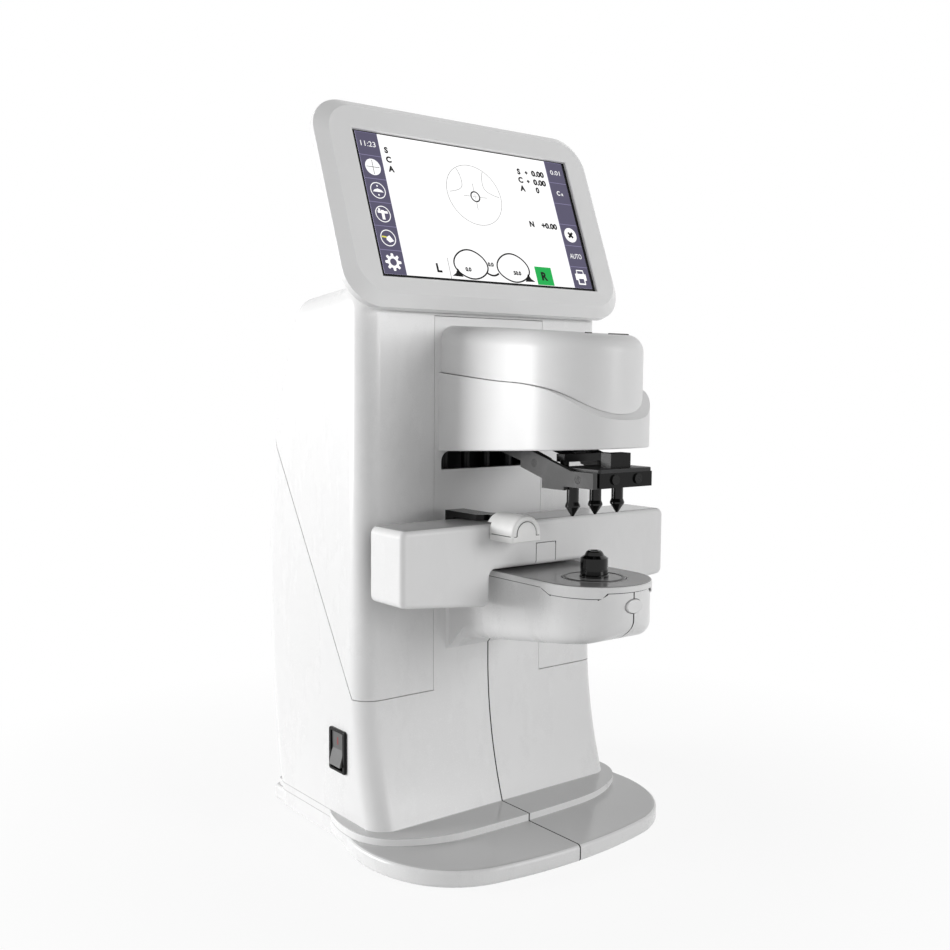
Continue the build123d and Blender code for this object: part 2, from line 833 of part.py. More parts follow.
# Spine plate and the frames on it
guide_line = at(guide_y)
spine_front = at(spine_y)
spine_back = spine_front + spine_thickness
with BuildPart() as spine_plate:
    add(box_part((-spine_half, spine_front, plate_top), (spine_half, spine_back, spine_top)))
    add(box_part((-spine_half, spine_front, plate_top),
                 (spine_half, spine_front + 34, plate_top + spine_thickness)))
    with BuildSketch(Plane(origin=(0, spine_front - 1, 158), x_dir=(1, 0, 0), z_dir=(0, -1, 0))):
        with GridLocations(44, 60, 2, 1):
            RectangleRounded(26, 40, 4)
    extrude(amount=-(spine_thickness + 2), mode=Mode.SUBTRACT)
bracket_thickness = 5.0
frame_top = head_frame_z + head_frame_thickness
rod_foot = rod_bracket_top - bracket_thickness
marking_rod_places = [((side * marking_rod_x, guide_line, rod_foot), (side * marking_rod_x, guide_line, frame_top))
                      for side in (-1, 1)]
presser_rod_places = [((side * presser_rod_x, guide_line, rod_foot), (side * presser_rod_x, guide_line, frame_top))
                      for side in (-1, 1)]
with BuildPart() as marking_guide_rods:
    add(rods(marking_rod_places, marking_rod_radius))
with BuildPart() as presser_guide_rods:
    add(rods(presser_rod_places, presser_rod_radius))
with BuildPart() as rod_bracket:
    add(box_part((-head_frame_half, at(94), rod_foot), (head_frame_half, spine_front, rod_bracket_top)))
    add(marking_guide_rods.part, mode=Mode.SUBTRACT)
    add(presser_guide_rods.part, mode=Mode.SUBTRACT)
frame_half = head_frame_half - 3
with BuildPart() as head_frame:
    add(nose_prism(frame_half, 12, spine_front, head_frame_z, frame_top))
    add(box_part((-frame_half, spine_front - 3, frame_top), (frame_half, spine_front, frame_top + 14)))
    add(marking_guide_rods.part, mode=Mode.SUBTRACT)
    add(presser_guide_rods.part, mode=Mode.SUBTRACT)
    with BuildSketch(Plane.XY.offset(head_frame_z)):
        with Locations((0, axis_y)):
            Circle(lamp_tube_radius - 2)
        with Locations((0, at(54))):
            RectangleRounded(30, 44, 5)
    extrude(amount=head_frame_thickness, mode=Mode.SUBTRACT)

# Lamp over the optical axis
lens_seat = lamp_tube_low + 6
collimator_radius = lamp_tube_radius - 1.5
collimator_edge = 1.5
collimator_rise = 3.0
with BuildPart() as lamp_tube:
    with BuildSketch(axis_plane):
        with BuildLine():
            Polyline((lamp_tube_radius - 3, lamp_tube_low), (lamp_tube_radius, lamp_tube_low),
                     (lamp_tube_radius, head_frame_z), (collimator_radius, head_frame_z),
                     (collimator_radius, lens_seat), (lamp_tube_radius - 3, lens_seat), close=True)
        make_face()
    revolve(axis=Axis((0, axis_y, 0), (0, 0, 1)))
with BuildPart() as collimator_lens:
    with BuildSketch(axis_plane):
        with BuildLine():
            rim = collimator_radius - running
            rim_z = lens_seat + collimator_edge
            ball = (rim ** 2 + collimator_rise ** 2) / (2 * collimator_rise)
            Polyline((0, rim_z + collimator_rise), (0, lens_seat), (rim, lens_seat), (rim, rim_z))
            ThreePointArc((rim, rim_z), (rim / 2, rim_z + collimator_rise - ball + sqrt(ball ** 2 - rim ** 2 / 4)),
                          (0, rim_z + collimator_rise))
        make_face()
    revolve(axis=Axis((0, axis_y, 0), (0, 0, 1)))
with BuildPart() as lamp_board:
    add(box_part((-13, at(-11), frame_top), (13, at(16), frame_top + board)))
    add(box_part((-2.5, at(-2.5), frame_top - 1.2), (2.5, at(2.5), frame_top)))
    add(box_part((-8, at(8), frame_top + board), (8, at(14), frame_top + board + 4)))

# Marking unit: screws, two side plates, carriage, block and cover
arm_outer = arm_half + arm_thickness
arm_screw_places = [(side, at(y), z) for side in (-1, 1) for y, z in ((-11, 210), (22, 216.5))]
with BuildPart() as marking_screws:
    for side, y, z in arm_screw_places:
        depth = 3.0 if z < block_top else 2.2
        add(rod((side * (arm_half - depth), y, z), (side * arm_outer, y, z), 1.25))
        add(rod((side * (arm_outer - 1.2), y, z), (side * arm_outer, y, z), 2.3))
    for side in (-1, 1):
        place = (side * 8, at(block_front), 210.2)
        add(rod((place[0], place[1] + 4, place[2]), place, 1.5))
        add(rod(place, (place[0], place[1] - 1.0, place[2]), 2.6))
foot_points = [(at(0.5), block_foot_low), (at(block_foot_back), block_foot_low),
               (at(block_foot_back), block_low + 3.4), (at(5), block_low), (at(0.5), block_low)]


def marking_plate(side, front):
    """One side plate of the marking unit, from its front edge's depth, with its small foot."""
    plate_points = [(at(front), block_low), (at(5), block_low), (at(33), 213.8), (at(33), 225),
                    (at(18.6), 221.0), (at(-6), arm_top), (at(front), arm_top)]
    with BuildPart() as plate:
        add(beam(plate_points, side * (arm_half + arm_thickness / 2), arm_thickness / 2))
        add(beam(foot_points, side * (arm_half + 0.8), 0.8))
        add(marking_screws.part, mode=Mode.SUBTRACT)
    return plate.part


with BuildPart() as marking_plate_left:
    add(marking_plate(-1, block_front))
with BuildPart() as marking_plate_right:
    add(marking_plate(1, short_arm_front))
lug_half = 5.5
lug_low = 230.0
lug_high = 252.0
lug_out = marking_rod_x + lug_half
fork_points = [(at(16), 212), (at(16), 219), (at(88), 241), (guide_line + 6, 241), (guide_line + 6, 230),
               (at(88), 229)]
with BuildPart() as marking_carriage:
    for side in (-1, 1):
        add(beam(fork_points, side * (arm_half - 2.0), 2.0))
        low_x = min(side * (arm_half - 2), side * lug_out)
        add(box_part((low_x, guide_line - 6, lug_low), (low_x + lug_out - arm_half + 2, guide_line + 6, lug_high)))
    add(box_part((-lug_out, guide_line + 6, lug_low + 2), (lug_out, guide_line + 11, lug_high)))
    for start, end in marking_rod_places:
        add(rod(start, end, marking_rod_radius + running), mode=Mode.SUBTRACT)
    add(marking_screws.part, mode=Mode.SUBTRACT)
pen_places = [-pen_spacing, 0, pen_spacing]
pocket_floor = block_low + 2.5
pen_guide = 0.3
with BuildPart() as marker_block:
    add(box_part((-block_half, at(block_front), block_low), (block_half, at(-8), block_top)))
    add(box_part((-arm_half, at(-14), block_low), (arm_half, at(block_back), block_top)))
    add(box_part((-7, at(-18), block_top), (7, at(-11), 223)))
    with BuildSketch(Plane.XY.offset(block_low)):
        with Locations(*[(x, axis_y) for x in pen_places]):
            Circle(pen_radius + pen_guide)
    extrude(amount=block_top - block_low, mode=Mode.SUBTRACT)
    with BuildSketch(Plane.XY.offset(pocket_floor)):
        with Locations(*[(x, axis_y) for x in pen_places]):
            Circle(pen_head_radius + pen_guide)
    extrude(amount=block_top - pocket_floor, mode=Mode.SUBTRACT)
    add(marking_screws.part, mode=Mode.SUBTRACT)
with BuildPart() as marker_cover:
    with BuildSketch(Plane.XY.offset(block_top)):
        with Locations((0, at((block_front + block_back) / 2))):
            RectangleRounded(2 * block_half, block_back - block_front, 1.5)
        with Locations((0, at(-14.5))):
            Rectangle(14 + 0.4, 7 + 0.4, mode=Mode.SUBTRACT)
    extrude(amount=block_cover)
    fillet(marker_cover.faces().sort_by(Axis.Z)[-1].outer_wire().edges(), 0.5)


def marker_pen(x):
    """One marking pen: a pointed tip, a straight barrel and a head that rests in the block's pocket."""
    cap_low = pocket_floor + 0.3
    cap_top = cap_low + 2.2
    collar_low = pen_tip_z + pen_cone
    pen_plane = Plane(origin=(x, axis_y, 0), x_dir=(1, 0, 0), z_dir=(0, -1, 0))
    with BuildPart() as pen:
        with BuildSketch(pen_plane):
            with BuildLine():
                Polyline((0, pen_tip_z), (pen_tip_radius, pen_tip_z), (pen_collar_radius, collar_low),
                         (pen_collar_radius, collar_low + 0.8), (pen_radius, collar_low + pen_collar),
                         (pen_radius, cap_low), (pen_head_radius, cap_low), (pen_head_radius, cap_top),
                         (0, cap_top), close=True)
            make_face()
        revolve(axis=Axis((x, axis_y, 0), (0, 0, 1)))
    return pen.part


with BuildPart() as marker_pen_left:
    add(marker_pen(-pen_spacing))
with BuildPart() as marker_pen_centre:
    add(marker_pen(0))
with BuildPart() as marker_pen_right:
    add(marker_pen(pen_spacing))

# Lens presser: carriage, arm and crossbar in one piece, and two soft tips
tip_height = 4.0
bar_top = presser_bar_low + presser_bar_height
presser_points = [(at(12), presser_bar_low), (at(12), bar_top + 0.6), (guide_line - 6, 246), (guide_line - 6, 239)]
with BuildPart() as presser_arm:
    add(beam(presser_points, 0, 4.5))
    add(box_part((-12.5, guide_line - 6, 234), (12.5, guide_line + 6, 258)))
    add(box_part((-presser_pin_x - 3, at(presser_pin_y) - 3, presser_bar_low),
                 (presser_pin_x + 3, at(presser_pin_y) + 3, bar_top)))
    for side in (-1, 1):
        place = (side * presser_pin_x, at(presser_pin_y))
        add(rod((*place, presser_bar_low), (*place, presser_pin_low + tip_height), presser_pin_radius))
    for start, end in presser_rod_places:
        add(rod(start, end, presser_rod_radius + running), mode=Mode.SUBTRACT)
with BuildPart() as presser_tips:
    for side in (-1, 1):
        place = (side * presser_pin_x, at(presser_pin_y))
        add(rod((*place, presser_pin_low), (*place, presser_pin_low + tip_height), presser_pin_radius + 0.4))
    fillet(presser_tips.faces().group_by(Axis.Z)[0].edges(), 1.0)

# Lens table: a hollow bar with two legs, its back plate, insert, rods and rail
table_front_y = at(table_front)
table_back_y = table_front_y + table_depth
insert_depth = 8.0


def table_solid(inset, front, back):
    """The bar's front outline moved in by an inset and made as deep as asked."""
    with BuildPart() as bar:
        with BuildSketch(Plane(origin=(0, back, 0), x_dir=(1, 0, 0), z_dir=(0, -1, 0))) as outline:
            with BuildLine():
                Polyline((-table_half, table_low), (-table_half, table_top), (table_half, table_top),
                         (table_half, table_low), (table_gap_half, table_leg_low), (table_gap_half, table_gap_top),
                         (-table_gap_half, table_gap_top), (-table_gap_half, table_leg_low), close=True)
            make_face()
            fillet(outline.vertices(), table_round)
            if inset:
                offset(amount=-inset)
        extrude(amount=back - front)
    return bar.part


insert_low = table_gap_top
insert_fit = 0.15
insert_back = table_front_y + insert_depth
with BuildPart() as table_insert:
    add(box_part((insert_x - insert_half, table_front_y, insert_low),
                 (insert_x + insert_half, insert_back, insert_high)))
    fillet(table_insert.edges().filter_by(Axis.Y).group_by(Axis.Z)[-1], 1.5)
    fillet(table_insert.faces().sort_by(Axis.Y)[0].edges().group_by(Axis.Z)[0], 2.8)
table_inner = table_solid(table_wall, table_front_y + table_wall, table_back_y + 1)
with BuildPart() as lens_table:
    add(table_solid(0, table_front_y, table_back_y))
    front_rim = lens_table.faces().sort_by(Axis.Y)[0].edges()
    fillet(front_rim, 3.0)
    add(table_inner, mode=Mode.SUBTRACT)
    add(box_part((insert_x - insert_half - insert_fit, table_front_y - 1, insert_low - 1),
                 (insert_x + insert_half + insert_fit, insert_back, insert_high + insert_fit)),
        mode=Mode.SUBTRACT)
rod_front = table_back_y - sheet
rod_rear = at(table_rod_end)
rod_places = [((side * table_rod_x, rod_front, table_rod_z), (side * table_rod_x, rod_rear, table_rod_z))
              for side in (-1, 1)]
with BuildPart() as table_slide_rods:
    add(rods(rod_places, table_rod_radius))
rail_middle = at(rail_y)
with BuildPart() as pd_rail:
    add(rod((-rail_half, rail_middle, rail_z), (rail_half, rail_middle, rail_z), rail_radius))
with BuildPart() as table_back_plate:
    add(table_solid(table_wall + running, table_back_y - sheet, table_back_y))
    for side in (-1, 1):
        x = side * (rail_half - 2)
        add(box_part((x - 2, table_back_y, rail_z - 4), (x + 2, rail_middle + 3, rail_z + 4)))
    add(box_part((insert_x - 4, insert_back, insert_low + 4),
                 (insert_x + 4, table_back_y - sheet, insert_high - 4)))
    add(table_slide_rods.part, mode=Mode.SUBTRACT)
    add(pd_rail.part, mode=Mode.SUBTRACT)
with BuildPart() as table_bushes:
    for side in (-1, 1):
        x = side * table_rod_x
        add(rod((x, column_front - 2, table_rod_z), (x, column_front, table_rod_z), bush_flange))
        add(rod((x, column_front, table_rod_z), (x, bush_end, table_rod_z), bush_radius))
        add(rod((x, column_front - 3, table_rod_z), (x, bush_end + 1, table_rod_z),
                table_rod_radius + running), mode=Mode.SUBTRACT)

# Nose pad slider
link_top = link_low + link_thickness
tongue_half = 5.0
sleeve_left = pad_x - 10.5
sleeve_right = pad_x + 2.0
link_front = at(46)
arch_z = pad_low + 4.3
pad_back = pad_front + 2 * pad_half - 0.3
pad_saddle = pad_back + 4.6
sleeve_half = 3.6
with BuildPart() as pd_carriage:
    add(box_part((sleeve_left, rail_middle - sleeve_half, rail_z - 4),
                 (sleeve_right, rail_middle + sleeve_half, link_low)))
    add(rod((sleeve_left - 1, rail_middle, rail_z), (sleeve_right + 1, rail_middle, rail_z),
            rail_radius + running), mode=Mode.SUBTRACT)
    with BuildSketch(Plane.XY.offset(link_low)):
        with BuildLine():
            Polyline((sleeve_left, rail_middle + sleeve_half), (sleeve_left, link_front + 3),
                     (sleeve_left + 3, link_front), (pad_x + tongue_half, link_front),
                     (sleeve_right, link_front + 8), (sleeve_right, rail_middle + sleeve_half), close=True)
        make_face()
    extrude(amount=link_thickness)


def arch(radius, front, back, low):
    """A round-topped block that lies along the depth, as wide as twice the radius."""
    with BuildPart() as block:
        with BuildSketch(Plane(origin=(pad_x, back, 0), x_dir=(1, 0, 0), z_dir=(0, -1, 0))):
            with BuildLine():
                Polyline((-radius, arch_z), (-radius, low), (radius, low), (radius, arch_z))
                ThreePointArc((radius, arch_z), (0, arch_z + radius), (-radius, arch_z))
            make_face()
        extrude(amount=back - front)
    return block.part


with BuildPart() as nose_pad_core:
    add(arch(pad_core_radius, at(pad_front) + 1.0, at(pad_back) - 0.3, pad_low + 1.5))
    add(box_part((pad_x - tongue_half, at(pad_front + 10), link_low),
                 (pad_x + tongue_half, link_front, link_top)))
with BuildPart() as saddle:
    add(arch(pad_half, at(pad_back) - 1, at(pad_saddle), pad_low))
    add(box_part((pad_x - pad_half, at(pad_back) - 1, link_low),
                 (pad_x + pad_half, at(pad_saddle), link_top + pad_half)), mode=Mode.INTERSECT)
with BuildPart() as nose_pad:
    add(arch(pad_half, at(pad_front), at(pad_back), pad_low))
    add(saddle.part)
    add(nose_pad_core.part, mode=Mode.SUBTRACT)

# Display: bezel, touch glass, panel, board, rear cover and hinge
lean = radians(screen_tilt)
display_plane = Plane(origin=(0, screen_y, screen_z), x_dir=(1, 0, 0), z_dir=(0, -cos(lean), sin(lean)))
window_width = screen_width + 2 * screen_border
window_height = screen_height + 2 * screen_border
glass_back = bezel_face - 1.8
glass_lap = 2.0
panel_front = glass_back - glass_thickness - 0.5
panel_back = panel_front - 4.0
cavity_width = bezel_front_width - 1.0
cavity_height = bezel_front_height - 1.0
cavity_round = bezel_round - 4.0
bezel_back = -(bezel_rim + bezel_skirt)


def display_slab(width, height, corner, along, back, front):
    """A plate parallel to the display's face, between two distances from it."""
    with BuildPart() as plate:
        with BuildSketch(display_plane.offset(back)):
            with Locations((0, along)):
                RectangleRounded(width, height, corner)
        extrude(amount=front - back)
    return plate.part


def display_loft(back, back_size, front, front_size):
    """A rounded body between two outlines parallel to the display's face: width, height, corner, middle."""
    with BuildPart() as body:
        for place, size in ((back, back_size), (front, front_size)):
            with BuildSketch(display_plane.offset(place)):
                with Locations((0, size[3])):
                    RectangleRounded(*size[:3])
        loft()
    return body.part


with BuildPart() as display_bezel:
    add(display_loft(-bezel_rim, (bezel_width, bezel_height, bezel_round, bezel_lift),
                     bezel_face, (bezel_front_width, bezel_front_height, bezel_round - 3, bezel_lift)))
    add(display_slab(bezel_width, bezel_height, bezel_round, bezel_lift, bezel_back, -bezel_rim))
    add(display_slab(cavity_width, cavity_height, cavity_round, bezel_lift, bezel_back - 1, glass_back),
        mode=Mode.SUBTRACT)
    add(display_slab(window_width, window_height, 1.0, 0, glass_back - 1, bezel_face + 1), mode=Mode.SUBTRACT)
with BuildPart() as touch_glass:
    add(display_slab(window_width + 2 * glass_lap, window_height + 2 * glass_lap, 2.0, 0,
                     glass_back - glass_thickness, glass_back))
with BuildPart() as lcd_panel:
    add(display_slab(screen_width + 10, screen_height + 12, 1.5, 0, panel_back, panel_front))
box_middle = (display_box_low + display_box_high) / 2
box_height = display_box_high - display_box_low
box_width = 2 * display_box_half
board_front = panel_back - 2.4
with BuildPart() as display_board:
    add(display_slab(110, 50, 2.0, box_middle, board_front - board, board_front))
    add(display_slab(20, 20, 0.5, box_middle, board_front - board - 1.6, board_front - board))
    add(display_slab(30, 6, 0.5, box_middle + 18, board_front - board - 4, board_front - board))
    with BuildSketch(display_plane.offset(board_front)):
        with Locations((0, box_middle)):
            with GridLocations(100, 40, 2, 2):
                Circle(2.5)
    extrude(amount=panel_back - board_front)
hinge_y, hinge_z = spot(hinge_along, hinge_depth)
ear_thickness = 5.0
ear_radius = 5.5
ear_middle = hinge_arm_x + hinge_arm_thickness / 2 + 1.0 + ear_thickness / 2
pin_start = hinge_arm_x - hinge_arm_thickness / 2 - 1.0
pin_end = ear_middle + ear_thickness / 2 + 1.5


def hinge_disc(middle, half, radius):
    """A round disc on the hinge's axis."""
    return rod((middle - half, hinge_y, hinge_z), (middle + half, hinge_y, hinge_z), radius)


with BuildPart() as display_hinge_pins:
    for side in (-1, 1):
        add(rod((side * pin_start, hinge_y, hinge_z), (side * pin_end, hinge_y, hinge_z), hinge_radius))
        add(rod((side * (pin_end - 1.5), hinge_y, hinge_z), (side * pin_end, hinge_y, hinge_z), hinge_radius + 1.5))
plate_front = panel_back
plate_back = -display_thin
ear_root = display_thin - 0.5
ear_points = [spot(hinge_along - ear_radius, ear_root), spot(hinge_along + ear_radius, ear_root),
              spot(hinge_along + ear_radius, hinge_depth), spot(hinge_along - ear_radius, hinge_depth)]
with BuildPart() as display_rear_cover:
    add(display_slab(cavity_width - gap, cavity_height - gap, cavity_round - gap / 2, bezel_lift,
                     plate_back, plate_front))
    add(display_loft(-display_deep, (box_width, box_height, 8, box_middle),
                     plate_back, (box_width + 12, box_height + 10, 12, box_middle)))
    add(display_loft(-display_deep + 2.2, (box_width - 4.4, box_height - 4.4, 6, box_middle),
                     plate_front, (box_width + 7.6, box_height + 5.6, 10, box_middle)), mode=Mode.SUBTRACT)
    for side in (-1, 1):
        add(beam(ear_points, side * ear_middle, ear_thickness / 2))
        add(hinge_disc(side * ear_middle, ear_thickness / 2, ear_radius))
    add(display_hinge_pins.part, mode=Mode.SUBTRACT)

# Display arms that rise from the spine through the column's top
arm_radius = 4.8
yoke_points = [(at(112), 268), (spine_front, 268), (spine_front, 306), (hinge_y + arm_radius, hinge_z),
               (hinge_y - arm_radius, hinge_z), (at(104.5), 300), (at(110), 290)]
with BuildPart() as display_yoke:
    for side in (-1, 1):
        add(beam(yoke_points, side * hinge_arm_x, hinge_arm_thickness / 2))
        add(hinge_disc(side * hinge_arm_x, hinge_arm_thickness / 2, arm_radius))
        add(hinge_disc(side * hinge_arm_x, hinge_arm_thickness, hinge_radius + running), mode=Mode.SUBTRACT)
    add(box_part((-hinge_arm_x, spine_front - 3, 282), (hinge_arm_x, spine_front, spine_top)))

# Power switch: its frame in the housing's side, and the rocker on its pivot
rocker_gap = 0.5
frame_rim = 1.2
pivot_depth = 5.0
pivot_radius = 1.2
rocker_x = -column_half + pivot_depth
with BuildPart() as switch_bezel:
    with BuildSketch(switch_side):
        RectangleRounded(switch_width, switch_height, 1.5)
    extrude(amount=switch_proud)
    fillet(switch_bezel.faces().sort_by(Axis.X)[0].edges(), 0.6)
    with BuildSketch(switch_side):
        Rectangle(switch_body_width, switch_body_height)
    extrude(amount=-14.0)
    with BuildSketch(switch_side.offset(switch_proud)):
        Rectangle(rocker_width + 2 * rocker_gap, rocker_height + 5 * rocker_gap)
    extrude(amount=-(switch_proud + 12.0), mode=Mode.SUBTRACT)
    add(rod((rocker_x, switch_y - 8, switch_z), (rocker_x, switch_y + 8, switch_z), pivot_radius + running),
        mode=Mode.SUBTRACT)
rocker_half = rocker_height / 2
rocker_face = -pivot_depth - switch_proud
rocker_points = [(rocker_face - 0.4, rocker_half), (rocker_face + 0.9, 0), (rocker_face - 0.4, -rocker_half),
                 (1.0, -rocker_half + 0.8), (4.5, -4), (4.5, 4), (1.0, rocker_half - 0.8)]
rocker_side = Plane(origin=(rocker_x, switch_y + rocker_width / 2, switch_z), x_dir=(1, 0, 0), z_dir=(0, -1, 0))
with BuildPart() as power_rocker:
    with BuildSketch(rocker_side):
        with BuildLine():
            Polyline(*rocker_points, close=True)
        make_face()
    extrude(amount=rocker_width)
    add(rod((rocker_x, switch_y - 6.9, switch_z), (rocker_x, switch_y + 6.9, switch_z), pivot_radius))
rocker_axis = Axis((rocker_x, switch_y, switch_z), (0, 1, 0))
power_rocker.part = power_rocker.part.rotate(rocker_axis, rocker_tilt)

# Rear panel, mains inlet and serial port
inlet_body_width = inlet_cavity_width + 3.2
inlet_body_height = inlet_cavity_height + 3.2
inlet_flange = 2.4
blade_width = 1.6
blade_height = 4.0
blade_length = 13.0
panel_lap = 4.0


def panel_block(x, width, height, back, front, corner=1.0):
    """A block on the rear panel's plane, with its middle at a distance along X."""
    with BuildPart() as block:
        with BuildSketch(rear_plane.offset(back)):
            with Locations((-x, 0)):
                RectangleRounded(width, height, corner)
        extrude(amount=front - back)
    return block.part


with BuildPart() as rear_panel:
    add(panel_block(0, 2 * (panel_half + panel_lap), panel_height + 2 * panel_lap, panel_face - 1.5,
                    panel_face))
    add(panel_block(inlet_x, inlet_body_width, inlet_body_height, panel_face - 2, panel_face + 1),
        mode=Mode.SUBTRACT)
    add(panel_block(port_x, 17.0, 8.4, panel_face - 2, panel_face + 1, 2.5), mode=Mode.SUBTRACT)
inlet_floor = panel_face + inlet_flange - inlet_cavity_depth
with BuildPart() as power_inlet:
    add(panel_block(inlet_x, inlet_width, inlet_height, panel_face, panel_face + inlet_flange, 4.0))
    add(panel_block(inlet_x, inlet_body_width, inlet_body_height, inlet_floor - 2, panel_face))
    add(panel_block(inlet_x, inlet_cavity_width, inlet_cavity_height, inlet_floor, panel_face + 3, 2.0),
        mode=Mode.SUBTRACT)
    with BuildSketch(rear_plane.offset(inlet_floor)):
        with Locations((-inlet_x - 7, 2), (-inlet_x, -2), (-inlet_x + 7, 2)):
            Rectangle(blade_width, blade_height)
    extrude(amount=blade_length)
with BuildPart() as serial_port:
    add(panel_block(port_x, port_width, port_height, panel_face, panel_face + 0.8))
    add(panel_block(port_x, 16.8, 8.2, panel_face - 8, panel_face + 5, 2.5))

# Power supply on the spine's foot, and the main board behind the spine
shelf = plate_top + spine_thickness
stand_off = 4.0
main_board_z = 204.0
board_back = spine_back + stand_off + board
with BuildPart() as power_supply:
    add(box_part((-40, at(126), shelf), (40, at(152), shelf + board)))
    add(box_part((-38, at(127), shelf + board), (-12, at(150), shelf + 26)))
    add(box_part((20, at(128), shelf + board), (24, at(150), shelf + 30)))
    with BuildSketch(Plane.XY.offset(shelf + board)):
        with Locations((2, at(132)), (2, at(145)), (14, at(138))):
            Circle(5)
    extrude(amount=24)
with BuildPart() as main_board:
    with BuildSketch(Plane(origin=(0, spine_back, main_board_z), x_dir=(1, 0, 0), z_dir=(0, 1, 0))):
        with GridLocations(70, 90, 2, 2):
            Circle(3)
    extrude(amount=stand_off)
    add(box_part((-40, board_back - board, main_board_z - 50), (40, board_back, main_board_z + 50)))
    add(box_part((-12, board_back, main_board_z - 14), (12, board_back + 2, main_board_z + 10)))
    add(box_part((-34, board_back, main_board_z + 32), (30, board_back + 8, main_board_z + 42)))

# Write each piece under its own name
pieces = {
    "base_plate": base_plate, "rubber_feet": rubber_feet, "housing_screws": housing_screws,
    "lower_housing_left": lower_housing_left, "lower_housing_right": lower_housing_right,
    "upper_cover": upper_cover, "centre_panel": centre_panel,
    "head_lower_cover": head_lower_cover, "head_upper_cover": head_upper_cover, "light_shield": light_shield,
    "stage_lid": stage_lid, "rest_plate": rest_plate, "lens_rest": lens_rest,
    "receiver_tube": receiver_tube, "hartmann_plate": hartmann_plate, "sensor_board": sensor_board,
    "lamp_tube": lamp_tube, "collimator_lens": collimator_lens, "lamp_board": lamp_board,
    "head_frame": head_frame, "spine_plate": spine_plate, "chin_bracket": chin_bracket, "rod_bracket": rod_bracket,
    "marking_guide_rods": marking_guide_rods, "presser_guide_rods": presser_guide_rods,
    "table_bushes": table_bushes, "display_yoke": display_yoke, "switch_bezel": switch_bezel,
    "rear_panel": rear_panel, "power_inlet": power_inlet, "serial_port": serial_port,
    "power_supply": power_supply, "main_board": main_board,
    "display_bezel": display_bezel, "display_rear_cover": display_rear_cover, "touch_glass": touch_glass,
    "lcd_panel": lcd_panel, "display_board": display_board, "display_hinge_pins": display_hinge_pins,
    "power_rocker": power_rocker, "measure_button": measure_button,
    "lens_table": lens_table, "table_back_plate": table_back_plate, "table_slide_rods": table_slide_rods,
    "pd_rail": pd_rail, "table_insert": table_insert,
    "pd_carriage": pd_carriage, "nose_pad_core": nose_pad_core, "nose_pad": nose_pad,
    "marking_plate_left": marking_plate_left, "marking_plate_right": marking_plate_right,
    "marking_carriage": marking_carriage, "marker_block": marker_block, "marker_cover": marker_cover,
    "marking_screws": marking_screws, "marker_pen_left": marker_pen_left,
    "marker_pen_centre": marker_pen_centre, "marker_pen_right": marker_pen_right,
    "presser_arm": presser_arm, "presser_tips": presser_tips,
}
for label, piece in pieces.items():
    piece.part.label = label
    export_step(piece.part, f"parts/{label}.step")
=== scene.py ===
"""Looks for a bench auto lensmeter: finishes, the screen's drawing, trims, soft pad and a plain studio."""

from math import cos, pi, radians, sin

import bmesh
import bpy
import numpy as np
from mathutils import Matrix, Vector


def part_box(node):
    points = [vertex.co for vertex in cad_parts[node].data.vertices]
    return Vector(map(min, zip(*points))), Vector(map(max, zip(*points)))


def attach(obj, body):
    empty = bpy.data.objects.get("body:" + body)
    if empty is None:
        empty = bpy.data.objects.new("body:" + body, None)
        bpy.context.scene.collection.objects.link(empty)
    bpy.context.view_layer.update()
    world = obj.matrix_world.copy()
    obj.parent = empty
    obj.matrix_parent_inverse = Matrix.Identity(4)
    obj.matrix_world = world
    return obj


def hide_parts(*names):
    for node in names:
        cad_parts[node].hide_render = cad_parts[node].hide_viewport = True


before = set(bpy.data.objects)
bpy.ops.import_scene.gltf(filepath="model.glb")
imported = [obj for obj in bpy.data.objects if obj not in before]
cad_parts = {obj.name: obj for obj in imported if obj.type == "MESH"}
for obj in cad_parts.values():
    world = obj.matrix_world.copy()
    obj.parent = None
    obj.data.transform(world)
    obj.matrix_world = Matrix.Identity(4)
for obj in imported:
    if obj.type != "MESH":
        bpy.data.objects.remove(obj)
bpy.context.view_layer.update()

bl_info = {
    "name": "Auto lensmeter looks",
    "version": (1, 0, 0),
    "blender": (4, 5, 0),
    "location": "View3D > Sidebar > Lensmeter",
    "description": "Finishes, screen drawing, trims and studio around the lensmeter's frame",
    "category": "Object",
}

MM = 0.001

# Places of the housing's parting lines, in metres
AXIS_Y = -0.0852
CHIN_TOP = 0.1542
CHIN_REACH = 0.0290
CHIN_HALF = 0.0294
COLUMN_FRONT = 0.0028
CENTRE_HALF = 0.0398
DIVISION_Z = 0.0840
DIVISION_Y = 0.0130
DIVISION_SLOPE = radians(58.0)

# The stage lid's skirt: its depth, its end behind the optical axis, its slope's length there, and half the
# width of the notch round the button at its top and bottom. Then the depth of the painted shadow line, a dark
# strip that stands in for the shade under the level and sloping edges
LID_SKIRT = 0.0028
SKIRT_BACK = 0.0080
SKIRT_SLOPE = 0.0070
NOTCH_HIGH = 0.0145
NOTCH_LOW = 0.0186
SHADOW_DEPTH = 0.0005
SLOPE_SHADOW_DEPTH = 0.0010

# How far the bezel laps the glass, and how deep the glass lies behind it
GLASS_LAP = 0.0020
GLASS_DEPTH = 0.0018

# The screen's keys and the walls of its ink, in millimetres
KEY_ROWS = 6
KEY_WIDTH = 14.3
INK_WALL = 0.04

# The nose pad, from the corner of its box: the level seam, the foot behind the table's edge and that edge
PAD_STEP = 0.0032
PAD_FOOT = 0.0090
PAD_EDGE = 0.0189

# Dark strips on the head's top: left, right, near and far edge from the optical axis
TOP_STRIPS = ((0.004, 0.016, -0.0065, -0.0030), (-0.0065, -0.0035, 0.0005, 0.0030))

